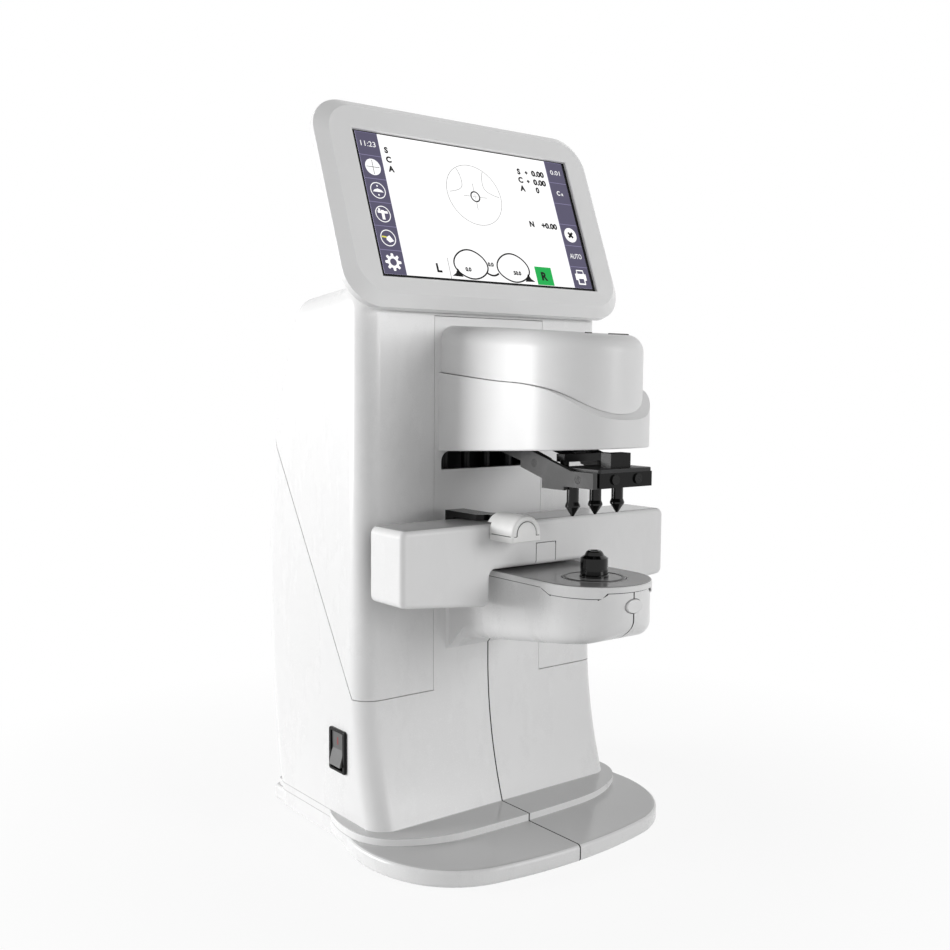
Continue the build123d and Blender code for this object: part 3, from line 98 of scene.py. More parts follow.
# The photograph's camera: heading, dip, roll, lens length in pixels, frame width in pixels and place
HEADING, DIP, ROLL = 0.6622, 0.0839, 0.0073
FOCAL = 1135.73
FRAME_WIDTH = 950.0
CAMERA_PLACE = (-0.40902, AXIS_Y - 0.42318, 0.25944)
SENSOR = 36.0


# Shader maths

class Value:
    """A number that varies over a surface. Arithmetic on it adds the Math nodes that work it out."""

    def __init__(self, tree, socket):
        self.tree = tree
        self.socket = socket

    def join(self, operation, *others, clamp=False):
        node = self.tree.nodes.new("ShaderNodeMath")
        node.operation = operation
        node.use_clamp = clamp
        for slot, entry in zip(node.inputs, others):
            if isinstance(entry, Value):
                self.tree.links.new(entry.socket, slot)
            else:
                slot.default_value = entry
        return Value(self.tree, node.outputs[0])

    def __add__(self, other):
        return self.join("ADD", self, other)

    def __radd__(self, other):
        return self.join("ADD", other, self)

    def __sub__(self, other):
        return self.join("SUBTRACT", self, other)

    def __rsub__(self, other):
        return self.join("SUBTRACT", other, self)

    def __mul__(self, other):
        return self.join("MULTIPLY", self, other)

    def __rmul__(self, other):
        return self.join("MULTIPLY", other, self)

    def __truediv__(self, other):
        return self.join("DIVIDE", self, other)

    def __pow__(self, other):
        return self.join("POWER", self, other)

    def __abs__(self):
        return self.join("ABSOLUTE", self)

    def over(self, limit):
        return self.join("GREATER_THAN", self, limit)

    def under(self, limit):
        return self.join("LESS_THAN", self, limit)

    def zigzag(self, turn):
        """Up to the turn and back again, over and over."""
        return self.join("PINGPONG", self, turn)

    def clamped(self):
        return self.join("ADD", self, 0.0, clamp=True)

    def ramp(self, low, high):
        """Nought below low, one above high and a straight rise between them."""
        return ((self - low) * (1.0 / (high - low))).clamped()


class Finish:
    """Node tree of one finish. node() adds any node from its type, its settings and its inputs."""

    def __init__(self, tree):
        self.tree = tree
        tree.nodes.clear()

    def node(self, kind, settings=None, values=None, out=0):
        made = self.tree.nodes.new(kind)
        for key, entry in (settings or {}).items():
            setattr(made, key, entry)
        for key, entry in (values or {}).items():
            if isinstance(entry, Value):
                self.tree.links.new(entry.socket, made.inputs[key])
            elif entry is not None:
                made.inputs[key].default_value = entry
        return Value(self.tree, made.outputs[out]) if made.outputs else made

    def place(self):
        return self.node("ShaderNodeTexCoord", out="Object")

    def axes(self, vector):
        parts = self.node("ShaderNodeSeparateXYZ", values={0: vector})
        outputs = parts.socket.node.outputs
        return [Value(self.tree, outputs[i]) for i in range(3)]

    def noise(self, vector, scale, detail=2.0, roughness=0.5):
        return self.node("ShaderNodeTexNoise", {"noise_dimensions": "3D"},
                         {"Vector": vector, "Scale": scale, "Detail": detail, "Roughness": roughness})

    def cells(self, vector, scale, out=0):
        return self.node("ShaderNodeTexVoronoi", {"feature": "F1"},
                         {"Vector": vector, "Scale": scale}, out=out)

    def stretched(self, vector, scale):
        return self.node("ShaderNodeMapping", values={"Vector": vector, "Scale": scale})

    def blend(self, factor, first, second):
        """One colour turned into another by a factor."""
        return self.node("ShaderNodeMix", {"data_type": "RGBA"}, {0: factor, 6: first, 7: second}, out=2)

    def bump(self, height, strength, distance):
        return self.node("ShaderNodeBump",
                         values={"Strength": strength, "Distance": distance, "Height": height})

    def surface(self, **values):
        names = {"colour": "Base Color", "roughness": "Roughness", "metallic": "Metallic", "normal": "Normal",
                 "coat": "Coat Weight", "glow": "Emission Color"}
        linked = {names[key]: entry for key, entry in values.items() if key in names}
        fixed = {key: entry for key, entry in values.items() if key not in names}
        shader = self.node("ShaderNodeBsdfPrincipled", values={**linked, **fixed})
        self.node("ShaderNodeOutputMaterial", values={"Surface": shader})
        return shader


def rgba(colour, share=1.0):
    """A colour with its strength scaled and an alpha of one."""
    return (colour[0] * share, colour[1] * share, colour[2] * share, 1.0)


def new_finish(name):
    """A new material, its empty node tree and the place on the object that its pattern follows."""
    material = bpy.data.materials.new(name)
    material.use_nodes = True
    finish = Finish(material.node_tree)
    return material, finish, finish.place()


def moulded_plastic(name, colour, roughness, grain=0.04, coat=0.0, cloud=0.02, shine=0.5):
    """Moulded plastic: faint flow clouds, fine spark grain, wide soft waves and handling smudges."""
    material, finish, place = new_finish(name)
    clouds = finish.noise(place, 14.0, 3.0)
    smudge = finish.noise(finish.stretched(place, (1.0, 1.0, 0.5)), 38.0, 4.0, 0.6).ramp(0.42, 0.7)
    waves = finish.noise(place, 55.0, 1.0)
    spark = finish.noise(place, 2600.0, 2.0)
    tint = finish.blend(clouds.ramp(0.3, 0.7), rgba(colour, 1.0 - cloud), rgba(colour, 1.0 + cloud))
    dull = roughness + smudge * 0.03 + (spark - 0.5) * 0.04
    normal = finish.bump(waves * 0.3 + spark * grain, 0.12, 0.0004)
    finish.surface(colour=tint, roughness=dull, normal=normal, coat=coat * (1.0 - smudge * 0.3),
                   **{"Coat Roughness": 0.06, "IOR": 1.46, "Specular IOR Level": shine})
    return material


def housing_seam_shade(finish, place):
    """Painted shade: one in the parting lines, whose gaps are painted near black where shade falls: the
    middle plane under the stage, the lid's shadow gap round the chin's nose, and the line of upper cover and
    lower housing, level at the front and slanting up the sides."""
    x, y, z = finish.axes(place)
    middle = abs(x).under(0.00042) * z.under(CHIN_TOP)
    nose_y = AXIS_Y - CHIN_REACH + CHIN_HALF
    inside = (x * x + (y - nose_y) * (y - nose_y)).under((CHIN_HALF - 0.0003) ** 2)
    before = (y - nose_y).under(0.0)
    flank = abs(x).under(CHIN_HALF - 0.0003) * (1.0 - before)
    ring = (inside * before + flank).clamped() * y.under(COLUMN_FRONT - 0.0012)
    gap = ring * (z - (CHIN_TOP - 0.0048)).over(0.0) * z.under(CHIN_TOP + 0.0002)
    gap = gap * abs(x).over(CHIN_HALF * 0.2)
    flat = z - DIVISION_Z
    slant = flat * cos(DIVISION_SLOPE) - (y - DIVISION_Y) * sin(DIVISION_SLOPE)
    above = flat.join("MINIMUM", flat, slant)
    panel = abs(x).under(CENTRE_HALF) * y.under(COLUMN_FRONT + 0.004)
    line = above.over(0.0) * above.under(0.0005) * (1.0 - panel)
    return (middle + gap + line).clamped()


def insert_seam_shade(finish, place):
    """Painted shade: one in the thin gap between the lens table's front and its insert, painted near black.
    """
    x, y, z = finish.axes(place)
    low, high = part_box("table_insert")
    across = abs(x - (low[0] + high[0]) / 2)
    half = (high[0] - low[0]) / 2 + 0.00007
    sides = abs(across - half).under(0.00022) * z.under(high[2] + 0.0002)
    top = abs(z - (high[2] + 0.00007)).under(0.00022) * across.under(half)
    return (sides + top).clamped() * y.under(low[1] + 0.0004)


def housing_plastic(name, look, painted_top_shade_share, tops, shine=0.5, top_coat=0.25, seam_shade=None):
    """The housings' white plastic. Its level tops, at the given heights, get painted shade: greyer than the
    walls.
    """
    material, finish, place = new_finish(name)
    height = finish.axes(place)[2]
    level = sum(abs(height - top).under(0.0003) for top in tops).clamped()
    clouds = finish.noise(place, 9.0, 3.0)
    smudge = finish.noise(finish.stretched(place, (1.0, 1.0, 0.4)), 30.0, 4.0, 0.6).ramp(0.45, 0.72)
    waves = finish.noise(place, 40.0, 1.0)
    spark = finish.noise(place, 2400.0, 2.0)
    dust = finish.noise(place, 900.0, 3.0).ramp(0.62, 0.8) * (1.0 - height.ramp(0.0, 0.12))
    wall = finish.blend(clouds.ramp(0.3, 0.7), rgba(look, 0.985), rgba(look, 1.01))
    # painted shade: level tops greyer than the walls, as little light falls on them from above
    tone = finish.blend(level, wall, rgba(look, painted_top_shade_share))
    if seam_shade:
        # painted shade: the gaps of the seam lines darkened to near black
        tone = finish.blend(seam_shade(finish, place), tone, (0.035, 0.035, 0.035, 1.0))
    tone = finish.blend(dust * 0.06, tone, (0.45, 0.43, 0.40, 1.0))
    dull = 0.27 - level * 0.12 + smudge * 0.03 + dust * 0.1 + (spark - 0.5) * 0.03
    normal = finish.bump(waves * 0.3 + spark * 0.03, 0.1, 0.0004)
    finish.surface(colour=tone, roughness=dull, normal=normal, coat=0.05 + level * top_coat,
                   **{"Coat Roughness": 0.05, "IOR": 1.46, "Specular IOR Level": shine})
    return material


def coated_metal(name, colour, roughness, shine=0.25):
    """Black coated sheet or cast metal: pebbled coat, rubbed patches and a few fine scratches."""
    material, finish, place = new_finish(name)
    pebble = finish.noise(place, 1500.0, 3.0)
    rubbed = finish.noise(place, 60.0, 4.0, 0.65).ramp(0.5, 0.75)
    scratch = finish.noise(finish.stretched(place, (1.0, 9.0, 60.0)), 120.0, 2.0).ramp(0.68, 0.74)
    tone = finish.blend(rubbed * 0.5 + scratch * 0.3, rgba(colour), rgba(colour, 1.6))
    dull = roughness - rubbed * 0.08 + (pebble - 0.5) * 0.1
    normal = finish.bump(pebble * 0.5 - scratch * 0.3, 0.25, 0.0003)
    finish.surface(colour=tone, roughness=dull, metallic=0.0, normal=normal,
                   **{"IOR": 1.5, "Specular IOR Level": shine})
    return material


def brushed_metal(name, colour, grain_scale, roughness):
    """Drawn or ground metal: long fine lines one way, cloudy brightness and small dull specks."""
    material, finish, place = new_finish(name)
    lines = finish.noise(finish.stretched(place, grain_scale), 700.0, 3.0, 0.6)
    clouds = finish.noise(place, 45.0, 2.0)
    specks = finish.noise(place, 900.0, 2.0).ramp(0.66, 0.74)
    tone = finish.blend(lines * 0.5 + clouds * 0.3, rgba(colour, 0.82), rgba(colour, 1.08))
    tone = finish.blend(specks * 0.3, tone, rgba(colour, 0.45))
    dull = roughness + (lines - 0.5) * 0.16 + specks * 0.15
    normal = finish.bump(lines, 0.12, 0.0002)
    finish.surface(colour=tone, roughness=dull, metallic=1.0, normal=normal)
    return material


def plated_sheet(name, colour):
    """Zinc-plated sheet: flat crystal patches of slightly different grey with a soft shine."""
    material, finish, place = new_finish(name)
    patches = finish.cells(place, 210.0, "Color")
    shade = finish.axes(patches)[0]
    fine = finish.noise(place, 1300.0, 2.0)
    tone = finish.blend(shade, rgba(colour, 0.86), rgba(colour, 1.1))
    normal = finish.bump(fine * 0.4 + shade * 0.2, 0.15, 0.0002)
    dull = 0.34 + shade * 0.12 + (fine - 0.5) * 0.08
    finish.surface(colour=tone, roughness=dull, metallic=0.9, normal=normal)
    return material


def soft_rubber(name, colour, roughness):
    """Moulded rubber or silicone: velvety skin, faint mould clouds and tiny pits."""
    material, finish, place = new_finish(name)
    skin = finish.noise(place, 1800.0, 3.0)
    clouds = finish.noise(place, 70.0, 3.0)
    pits = finish.noise(place, 600.0, 2.0).ramp(0.7, 0.76)
    tone = finish.blend(clouds.ramp(0.3, 0.7), rgba(colour, 0.94), rgba(colour, 1.04))
    normal = finish.bump(skin * 0.5 - pits, 0.3, 0.0002)
    finish.surface(colour=tone, roughness=roughness + (skin - 0.5) * 0.1, normal=normal,
                   **{"Sheen Weight": 0.15})
    return material


def circuit_board(name, mask_colour, track_colour):
    """Printed board: green mask over square tracks, small plated holes and pale print specks."""
    material, finish, place = new_finish(name)
    x, y, z = finish.axes(place)
    across = abs(x.zigzag(0.0021) - 0.00105).under(0.0003)
    along = abs((y + z).zigzag(0.0027) - 0.00135).under(0.0003)
    region = finish.noise(place, 55.0, 1.0)
    tracks = (across * region.ramp(0.48, 0.5) + along * (1.0 - region.ramp(0.46, 0.48))).clamped()
    pads = finish.cells(place, 160.0).under(0.16)
    tone = finish.blend(tracks, rgba(mask_colour), rgba(track_colour))
    tone = finish.blend(pads, tone, (0.6, 0.58, 0.5, 1.0))
    dull = 0.35 - pads * 0.1 + finish.noise(place, 800.0) * 0.08
    normal = finish.bump(tracks * 0.4 + pads, 0.3, 0.0002)
    finish.surface(colour=tone, roughness=dull, metallic=pads, normal=normal)
    return material


def clear_glass(name):
    """Polished glass with faint cleaning marks."""
    material, finish, place = new_finish(name)
    marks = finish.noise(finish.stretched(place, (1.0, 3.0, 1.0)), 90.0, 3.0).ramp(0.55, 0.8)
    tone = finish.blend(marks * 0.1, (0.9, 0.95, 0.95, 1.0), (0.8, 0.85, 0.85, 1.0))
    finish.surface(colour=tone, roughness=0.02 + marks * 0.06, normal=finish.bump(marks, 0.02, 0.0001),
                   **{"Transmission Weight": 1.0, "IOR": 1.52})
    return material


def lit_ink(name, colour, glow=0.75):
    """One colour of the lit picture: a pixel grid, a little uneven back light and a soft shine."""
    material, finish, place = new_finish(name)
    x, _, z = finish.axes(place)
    columns = x.zigzag(0.00015) * 6600.0
    rows = z.zigzag(0.00014) * 7100.0
    uneven = finish.noise(place, 12.0, 1.0)
    light = 0.97 + uneven * 0.04 + columns * rows * 0.03
    tone = finish.node("ShaderNodeVectorMath", {"operation": "SCALE"}, {0: colour[:3], 3: light})
    finish.surface(colour=finish.blend(columns * 0.05, rgba(colour, 0.3), rgba(colour, 0.27)),
                   roughness=0.3 + uneven * 0.06, glow=tone,
                   **{"Emission Strength": glow, "Specular IOR Level": 0.15})
    return material


# Meshes

def add_object(name, data):
    made = bpy.data.objects.new(name, data)
    bpy.context.scene.collection.objects.link(made)
    return made


def put_mesh(name, points, faces, finish_material, body, sharp=35.0):
    """A piece from tables of points and faces, with doubles merged and its faces turned outwards."""
    mesh = bpy.data.meshes.new(name)
    mesh.from_pydata(np.asarray(points, float).reshape(-1, 3).tolist(), [], np.asarray(faces).tolist())
    work = bmesh.new()
    work.from_mesh(mesh)
    bmesh.ops.remove_doubles(work, verts=work.verts, dist=1e-6)
    bmesh.ops.recalc_face_normals(work, faces=work.faces)
    work.to_mesh(mesh)
    work.free()
    piece = add_object(name, mesh)
    mesh.materials.append(finish_material)
    mesh.shade_smooth()
    mesh.set_sharp_from_angle(angle=radians(sharp))
    if body:
        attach(piece, body)
    return piece


def grid_faces(rows, columns, close=True):
    """Four-sided faces between neighbours of a grid of points, its columns closed into a ring if asked."""
    index = np.arange(rows * columns).reshape(rows, columns)
    after = np.roll(index, -1, axis=1)
    if not close:
        index, after = index[:, :-1], after[:, :-1]
    return np.stack([index[:-1], after[:-1], after[1:], index[1:]], axis=-1).reshape(-1, 4)


def grid_piece(name, points, finish_material, body, sharp=35.0):
    """A piece from a grid of points: rows along it, columns round it."""
    return put_mesh(name, points, grid_faces(*points.shape[:2]), finish_material, body, sharp)


def turned_profile(centre, profile, steps=48):
    """A profile of radius and height carried round an upright axis: x = r cos a, y = r sin a, z = height."""
    turn = np.linspace(0.0, 2 * pi, steps, endpoint=False)
    radius, height = np.asarray(profile, float).T
    points = np.stack([radius[:, None] * np.cos(turn), radius[:, None] * np.sin(turn),
                       np.repeat(height[:, None], steps, axis=1)], axis=-1)
    return points + np.array(centre, float)


def tube(name, path, radius, finish_material, body, steps=10):
    """A round section carried along a path: each ring lies across it, and both ends close to a point."""
    way = np.gradient(path, axis=0)
    way /= np.linalg.norm(way, axis=1, keepdims=True)
    upright = (0.0, 0.0, 1.0) if np.abs(way[:, 1]).max() > 0.5 else (0.0, 1.0, 0.0)
    side = np.cross(way, upright)
    side /= np.linalg.norm(side, axis=1, keepdims=True)
    lift = np.cross(side, way)
    turn = np.linspace(0.0, 2 * pi, steps, endpoint=False)[:, None]
    size = np.full(len(path), radius)
    size[0] = size[-1] = 0.0
    ring = side[:, None] * np.cos(turn) + lift[:, None] * np.sin(turn)
    return grid_piece(name, path[:, None] + ring * size[:, None, None], finish_material, body, 60.0)


def rounded_outline(width, height, corner, steps=8):
    """Points round a rectangle with quarter-circle corners, the same number for every size."""
    turn = np.linspace(0.0, pi / 2, steps)
    points = []
    for quarter, (sx, sy) in enumerate(((1, 1), (-1, 1), (-1, -1), (1, -1))):
        angle = turn + quarter * pi / 2
        points.append(np.stack([sx * (width / 2 - corner) + corner * np.cos(angle),
                                sy * (height / 2 - corner) + corner * np.sin(angle)], axis=1))
    return np.concatenate(points)


class Drawing:
    """Flat shapes on a plane, in millimetres, that become one thin piece of raised ink."""

    def __init__(self, origin, across, up):
        self.origin = np.array(origin, float)
        self.across = np.array(across, float)
        self.up = np.array(up, float)
        self.out = np.cross(self.across, self.up)
        self.points = []
        self.faces = []

    def add(self, places, faces):
        start = sum(len(p) for p in self.points)
        self.points.append(np.asarray(places, float))
        self.faces += [[start + int(i) for i in face] for face in faces]

    def shape(self, places):
        """A filled outline, cut into a fan about its middle."""
        places = np.asarray(places, float)
        count = len(places)
        fan = np.vstack([places, places.mean(axis=0)])
        self.add(fan, [(i, (i + 1) % count, count) for i in range(count)])

    def block(self, x, y, width, height):
        self.shape([(x, y), (x + width, y), (x + width, y + height), (x, y + height)])

    def line(self, places, width, closed=False):
        """A line of even width: each point moves half the width to both sides, square to its neighbours."""
        places = np.asarray(places, float)
        if closed:
            way = np.roll(places, -1, axis=0) - np.roll(places, 1, axis=0)
        else:
            way = np.gradient(places, axis=0)
        way = way / np.linalg.norm(way, axis=1, keepdims=True)
        side = np.stack([-way[:, 1], way[:, 0]], axis=1) * width / 2
        count = len(places)
        last = count if closed else count - 1
        ring = np.vstack([places + side, places - side])
        self.add(ring, [(i, (i + 1) % count, count + (i + 1) % count, count + i) for i in range(last)])

    def oval(self, x, y, half_width, half_height, turn=0.0, steps=48):
        """Points of an ellipse turned by an angle."""
        angle = np.linspace(0.0, 2 * pi, steps, endpoint=False)
        a, b = half_width * np.cos(angle), half_height * np.sin(angle)
        return np.stack([x + a * cos(turn) - b * sin(turn), y + a * sin(turn) + b * cos(turn)], axis=1)

    def disc(self, x, y, radius):
        self.shape(self.oval(x, y, radius, radius))

    def ring(self, x, y, radius, width):
        self.line(self.oval(x, y, radius, radius), width, closed=True)

    def words(self, text, x, y, height, weight=0.022, wide=0.0):
        """Letters as flat faces about a place, as bold as the weight, and stretched to a given width."""
        curve = bpy.data.curves.new("letters", "FONT")
        curve.body = text
        curve.size = 1.0
        curve.resolution_u = 3
        curve.offset = weight
        holder = add_object("letters", curve)
        bpy.context.view_layer.update()
        mesh = bpy.data.meshes.new_from_object(holder.evaluated_get(bpy.context.evaluated_depsgraph_get()))
        corners = np.empty(3 * len(mesh.vertices))
        mesh.vertices.foreach_get("co", corners)
        places = corners.reshape(-1, 3)[:, :2] * height / 0.7
        low, high = places.min(axis=0), places.max(axis=0)
        places[:, 0] -= (low[0] + high[0]) / 2
        places[:, 0] = places[:, 0] * (wide / (high[0] - low[0]) if wide else 1.0) + x
        places[:, 1] += y - height / 2
        self.add(places, [list(f.vertices) for f in mesh.polygons])
        bpy.data.objects.remove(holder)
        bpy.data.curves.remove(curve)
        bpy.data.meshes.remove(mesh)

    def piece(self, name, lift, thickness, finish_material, body):
        """The drawing as a thin solid: place = origin + x across + y up + lift out, then a wall inwards."""
        flat = np.vstack(self.points) * MM
        points = self.origin + flat[:, :1] * self.across + flat[:, 1:] * self.up + lift * MM * self.out
        mesh = bpy.data.meshes.new(name)
        mesh.from_pydata(points.tolist(), [], self.faces)
        work = bmesh.new()
        work.from_mesh(mesh)
        bmesh.ops.remove_doubles(work, verts=work.verts, dist=1e-7)
        for face in work.faces:
            face.normal_update()
            if face.normal.dot(Vector(self.out)) < 0:
                face.normal_flip()
        work.to_mesh(mesh)
        work.free()
        made = add_object(name, mesh)
        mesh.materials.append(finish_material)
        wall = made.modifiers.new("ink wall", "SOLIDIFY")
        wall.thickness = thickness * MM
        wall.offset = -1.0
        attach(made, body)
        return made


def face_table(name):
    """Middles, outward directions and areas of a CAD piece's faces, as arrays."""
    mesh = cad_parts[name].data
    count = len(mesh.polygons)
    centres, normals, areas = np.empty(3 * count), np.empty(3 * count), np.empty(count)
    mesh.polygons.foreach_get("center", centres)
    mesh.polygons.foreach_get("normal", normals)
    mesh.polygons.foreach_get("area", areas)
    return centres.reshape(-1, 3), normals.reshape(-1, 3), areas


def flat_face(name, way, above=None, below=None):
    """Middle and direction of the flat faces of a CAD piece that look a given way, weighed by area."""
    centres, normals, areas = face_table(name)
    chosen = normals @ np.array(way, float) > 0.97
    if above is not None:
        chosen &= centres[:, 2] > above
    if below is not None:
        chosen &= centres[:, 2] < below
    if not chosen.any():
        raise RuntimeError(f"no face of {name} looks that way")
    weight = areas[chosen][:, None]
    normal = (normals[chosen] * weight).sum(axis=0)
    return (centres[chosen] * weight).sum(axis=0) / weight.sum(), normal / np.linalg.norm(normal)


def flat_heights(name, limit=None):
    """Heights of a piece's large level upper faces under a limit, or without one that of its top alone."""
    centres, normals, areas = face_table(name)
    level = (normals[:, 2] > 0.999) & (centres[:, 2] < (limit or np.inf))
    heights = np.round(centres[level, 2], 4)
    large = [float(h) for h in np.unique(heights) if areas[level][heights == h].sum() > 0.0005]
    return large if limit else large[-1:]


def coat_nodes(finish_material, *names):
    """Give CAD pieces a finish in all their material slots."""
    for name in names:
        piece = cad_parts[name]
        if not piece.material_slots:
            piece.data.materials.append(finish_material)
        for entry in piece.material_slots:
            entry.material = finish_material


# Sizes and colours that a user would change

def colour_property(label, text, value):
    return bpy.props.FloatVectorProperty(name=label, description=text, default=value, size=3, min=0.0,
                                         max=1.0, subtype="COLOR")


def number_property(label, text, value, **kind):
    return bpy.props.FloatProperty(name=label, description=text, default=value, **{"min": 0.0, **kind})


def share_property(label, text, value):
    return number_property(label, text, value, max=1.0, subtype="FACTOR")


def length_property(label, text, value):
    return number_property(label, text, value, unit="LENGTH")


def power_property(label, text, value):
    return number_property(label, text, value, subtype="POWER", unit="POWER")


class ShellLook(bpy.types.PropertyGroup):
    """Colours of the housings."""
    white: colour_property("White", "Colour of the housings", (0.82, 0.82, 0.82))
    panel: colour_property("Panel", "Colour of the front panel and the head's top", (0.80, 0.80, 0.80))
    bezel: colour_property("Display", "Colour of the display's housing", (0.84, 0.84, 0.84))
    # painted shade: the three shares below make level tops greyer than walls, as little light falls from
    # above
    painted_top_shade_share: share_property("Base tops", "How bright the base's level tops are beside its walls", 0.72)
    table_painted_shade_share: share_property("Table top", "How bright the lens table's top is beside its front", 0.5)
    stage_painted_shade_share: share_property("Stage top", "How bright the stage's top is beside its rim", 0.3)


class MechanismLook(bpy.types.PropertyGroup):
    """Colours of the mechanism."""
    arm: colour_property("Arms", "Colour of the marking unit's arms", (0.045, 0.045, 0.045))
    block: colour_property("Block", "Colour of black mouldings", (0.004, 0.004, 0.004))
    steel: colour_property("Steel", "Colour of rods and screws", (0.62, 0.62, 0.63))
    blued: colour_property("Blued", "Colour of the blackened guide rods", (0.006, 0.006, 0.007))


class ScreenLook(bpy.types.PropertyGroup):
    """The lit picture."""
    tile: colour_property("Keys", "Colour of the screen's keys", (0.093, 0.085, 0.140))
    paper: colour_property("Ground", "Colour of the screen's ground", (1.0, 1.0, 1.0))
    ink: colour_property("Ink", "Colour of the screen's letters", (0.005, 0.005, 0.005))
    choice: colour_property("Chosen", "Colour of the chosen side's key", (0.010, 0.40, 0.075))
    glow: number_property("Glow", "Strength of the screen's own light", 0.86, max=5.0)
    width: length_property("Width", "Width of the lit picture", 0.1506)
    height: length_property("Height", "Height of the lit picture", 0.0842)
    rise: length_property("Rise", "How far the picture lies above the window's middle", 0.0007)
    lip: length_property("Lip", "Width of the pale lip round the window", 0.0015)
    tilt: number_property("Tilt", "Lean of the screen back from upright", radians(20.85), min=-pi / 2,
                          subtype="ANGLE", unit="ROTATION")


class PadLook(bpy.types.PropertyGroup):
    """The soft nose pad."""
    groove: length_property("Groove", "Depth of the pad's grooves", 0.0006)
    easing: length_property("Easing", "Radius of the pad's ends", 0.0022)
    colour: colour_property("Colour", "Colour of the soft pad", (0.86, 0.86, 0.85))


class StudioLook(bpy.types.PropertyGroup):
    """Light and floor."""
    side: power_property("Side lamp", "Power of the lamp on the left", 34.0)
    front: power_property("Front lamp", "Power of the lamp in front", 15.0)
    horizon: number_property("Horizon", "Brightness of the room at eye level", 0.70)
    zenith: number_property("Ceiling", "Brightness of the room overhead", 0.06)
    floor: length_property("Floor", "Radius of the pale floor", 2.5)


GROUPS = {"lensmeter_shell": ShellLook, "lensmeter_mechanism": MechanismLook, "lensmeter_screen": ScreenLook,
          "lensmeter_pad": PadLook, "lensmeter_studio": StudioLook}


# Operators

class LENSMETER_OT_shells(bpy.types.Operator):
    """Finish the housings, panels, lens table, lid and button"""
    bl_idname = "lensmeter.shells"
    bl_label = "Housings"

    def execute(self, context):
        look = context.scene.lensmeter_shell
        # level tops of the housing, table, stage and rest get painted shade from the shares
        housing = housing_plastic("housing_white", look.white, look.painted_top_shade_share,
                                  flat_heights("lower_housing_left", 0.03), seam_shade=housing_seam_shade)
        coat_nodes(housing, "lower_housing_left", "lower_housing_right", "upper_cover")
        table = housing_plastic("table_white", look.white, look.table_painted_shade_share, flat_heights("lens_table"),
                                0.2, 0.0, insert_seam_shade)
        coat_nodes(table, "lens_table", "table_insert")
        for name, node in (("stage_white", "stage_lid"), ("rest_white", "rest_plate")):
            tops = flat_heights(node)
            coat_nodes(housing_plastic(name, look.white, look.stage_painted_shade_share, tops, 0.3, 0.1), node)
        coat_nodes(moulded_plastic("panel_white", look.panel, 0.3), "centre_panel")
        coat_nodes(moulded_plastic("head_white", look.panel, 0.34, coat=0.05, shine=0.3),
                   "head_lower_cover", "head_upper_cover")
        coat_nodes(moulded_plastic("button_white", look.white, 0.26, coat=0.2), "measure_button")
        coat_nodes(moulded_plastic("display_white", look.bezel, 0.24, coat=0.3),
                   "display_bezel", "display_rear_cover")
        return {"FINISHED"}


class LENSMETER_OT_mechanism(bpy.types.Operator):
    """Finish the marking unit, presser, slider, lens rest and switch"""
    bl_idname = "lensmeter.mechanism"
    bl_label = "Mechanism"

    def execute(self, context):
        look = context.scene.lensmeter_mechanism
        coat_nodes(coated_metal("arm_black", look.arm, 0.42),
                   "marking_plate_left", "marking_plate_right", "marking_carriage")
        coat_nodes(coated_metal("frame_black", look.block, 0.4), "presser_arm", "rod_bracket", "display_yoke")
        coat_nodes(moulded_plastic("block_black", look.block, 0.22, grain=0.2, cloud=0.1, shine=0.2),
                   "marker_block", "switch_bezel", "table_back_plate", "pd_carriage", "nose_pad_core",
                   "power_inlet")
        # the light shield's black is partly a real baffle and partly painted shade for the dark inside the
        # head
        coat_nodes(moulded_plastic("shield_black_and_shade", look.block, 0.6, grain=0.3, cloud=0.1, shine=0.05),
                   "light_shield")
        coat_nodes(moulded_plastic("cover_grey", (0.02, 0.02, 0.021), 0.35, grain=0.15, shine=0.3),
                   "marker_cover")
        coat_nodes(moulded_plastic("polished_black", (0.004, 0.004, 0.004), 0.1, coat=0.1, shine=0.3),
                   "lens_rest", "marker_pen_left", "marker_pen_centre", "marker_pen_right")
        coat_nodes(moulded_plastic("rocker_black", (0.11, 0.11, 0.11), 0.3, grain=0.1), "power_rocker")
        coat_nodes(coated_metal("screw_black", (0.008, 0.008, 0.008), 0.3, 0.2), "marking_screws")
        coat_nodes(brushed_metal("rod_steel", look.steel, (1.0, 1.0, 0.06), 0.2),
                   "display_hinge_pins", "table_slide_rods", "pd_rail")
        coat_nodes(coated_metal("rod_blued", look.blued, 0.35, 0.15),
                   "marking_guide_rods", "presser_guide_rods")
        coat_nodes(soft_rubber("rubber_black", (0.016, 0.016, 0.016), 0.7), "rubber_feet", "presser_tips")
        return {"FINISHED"}


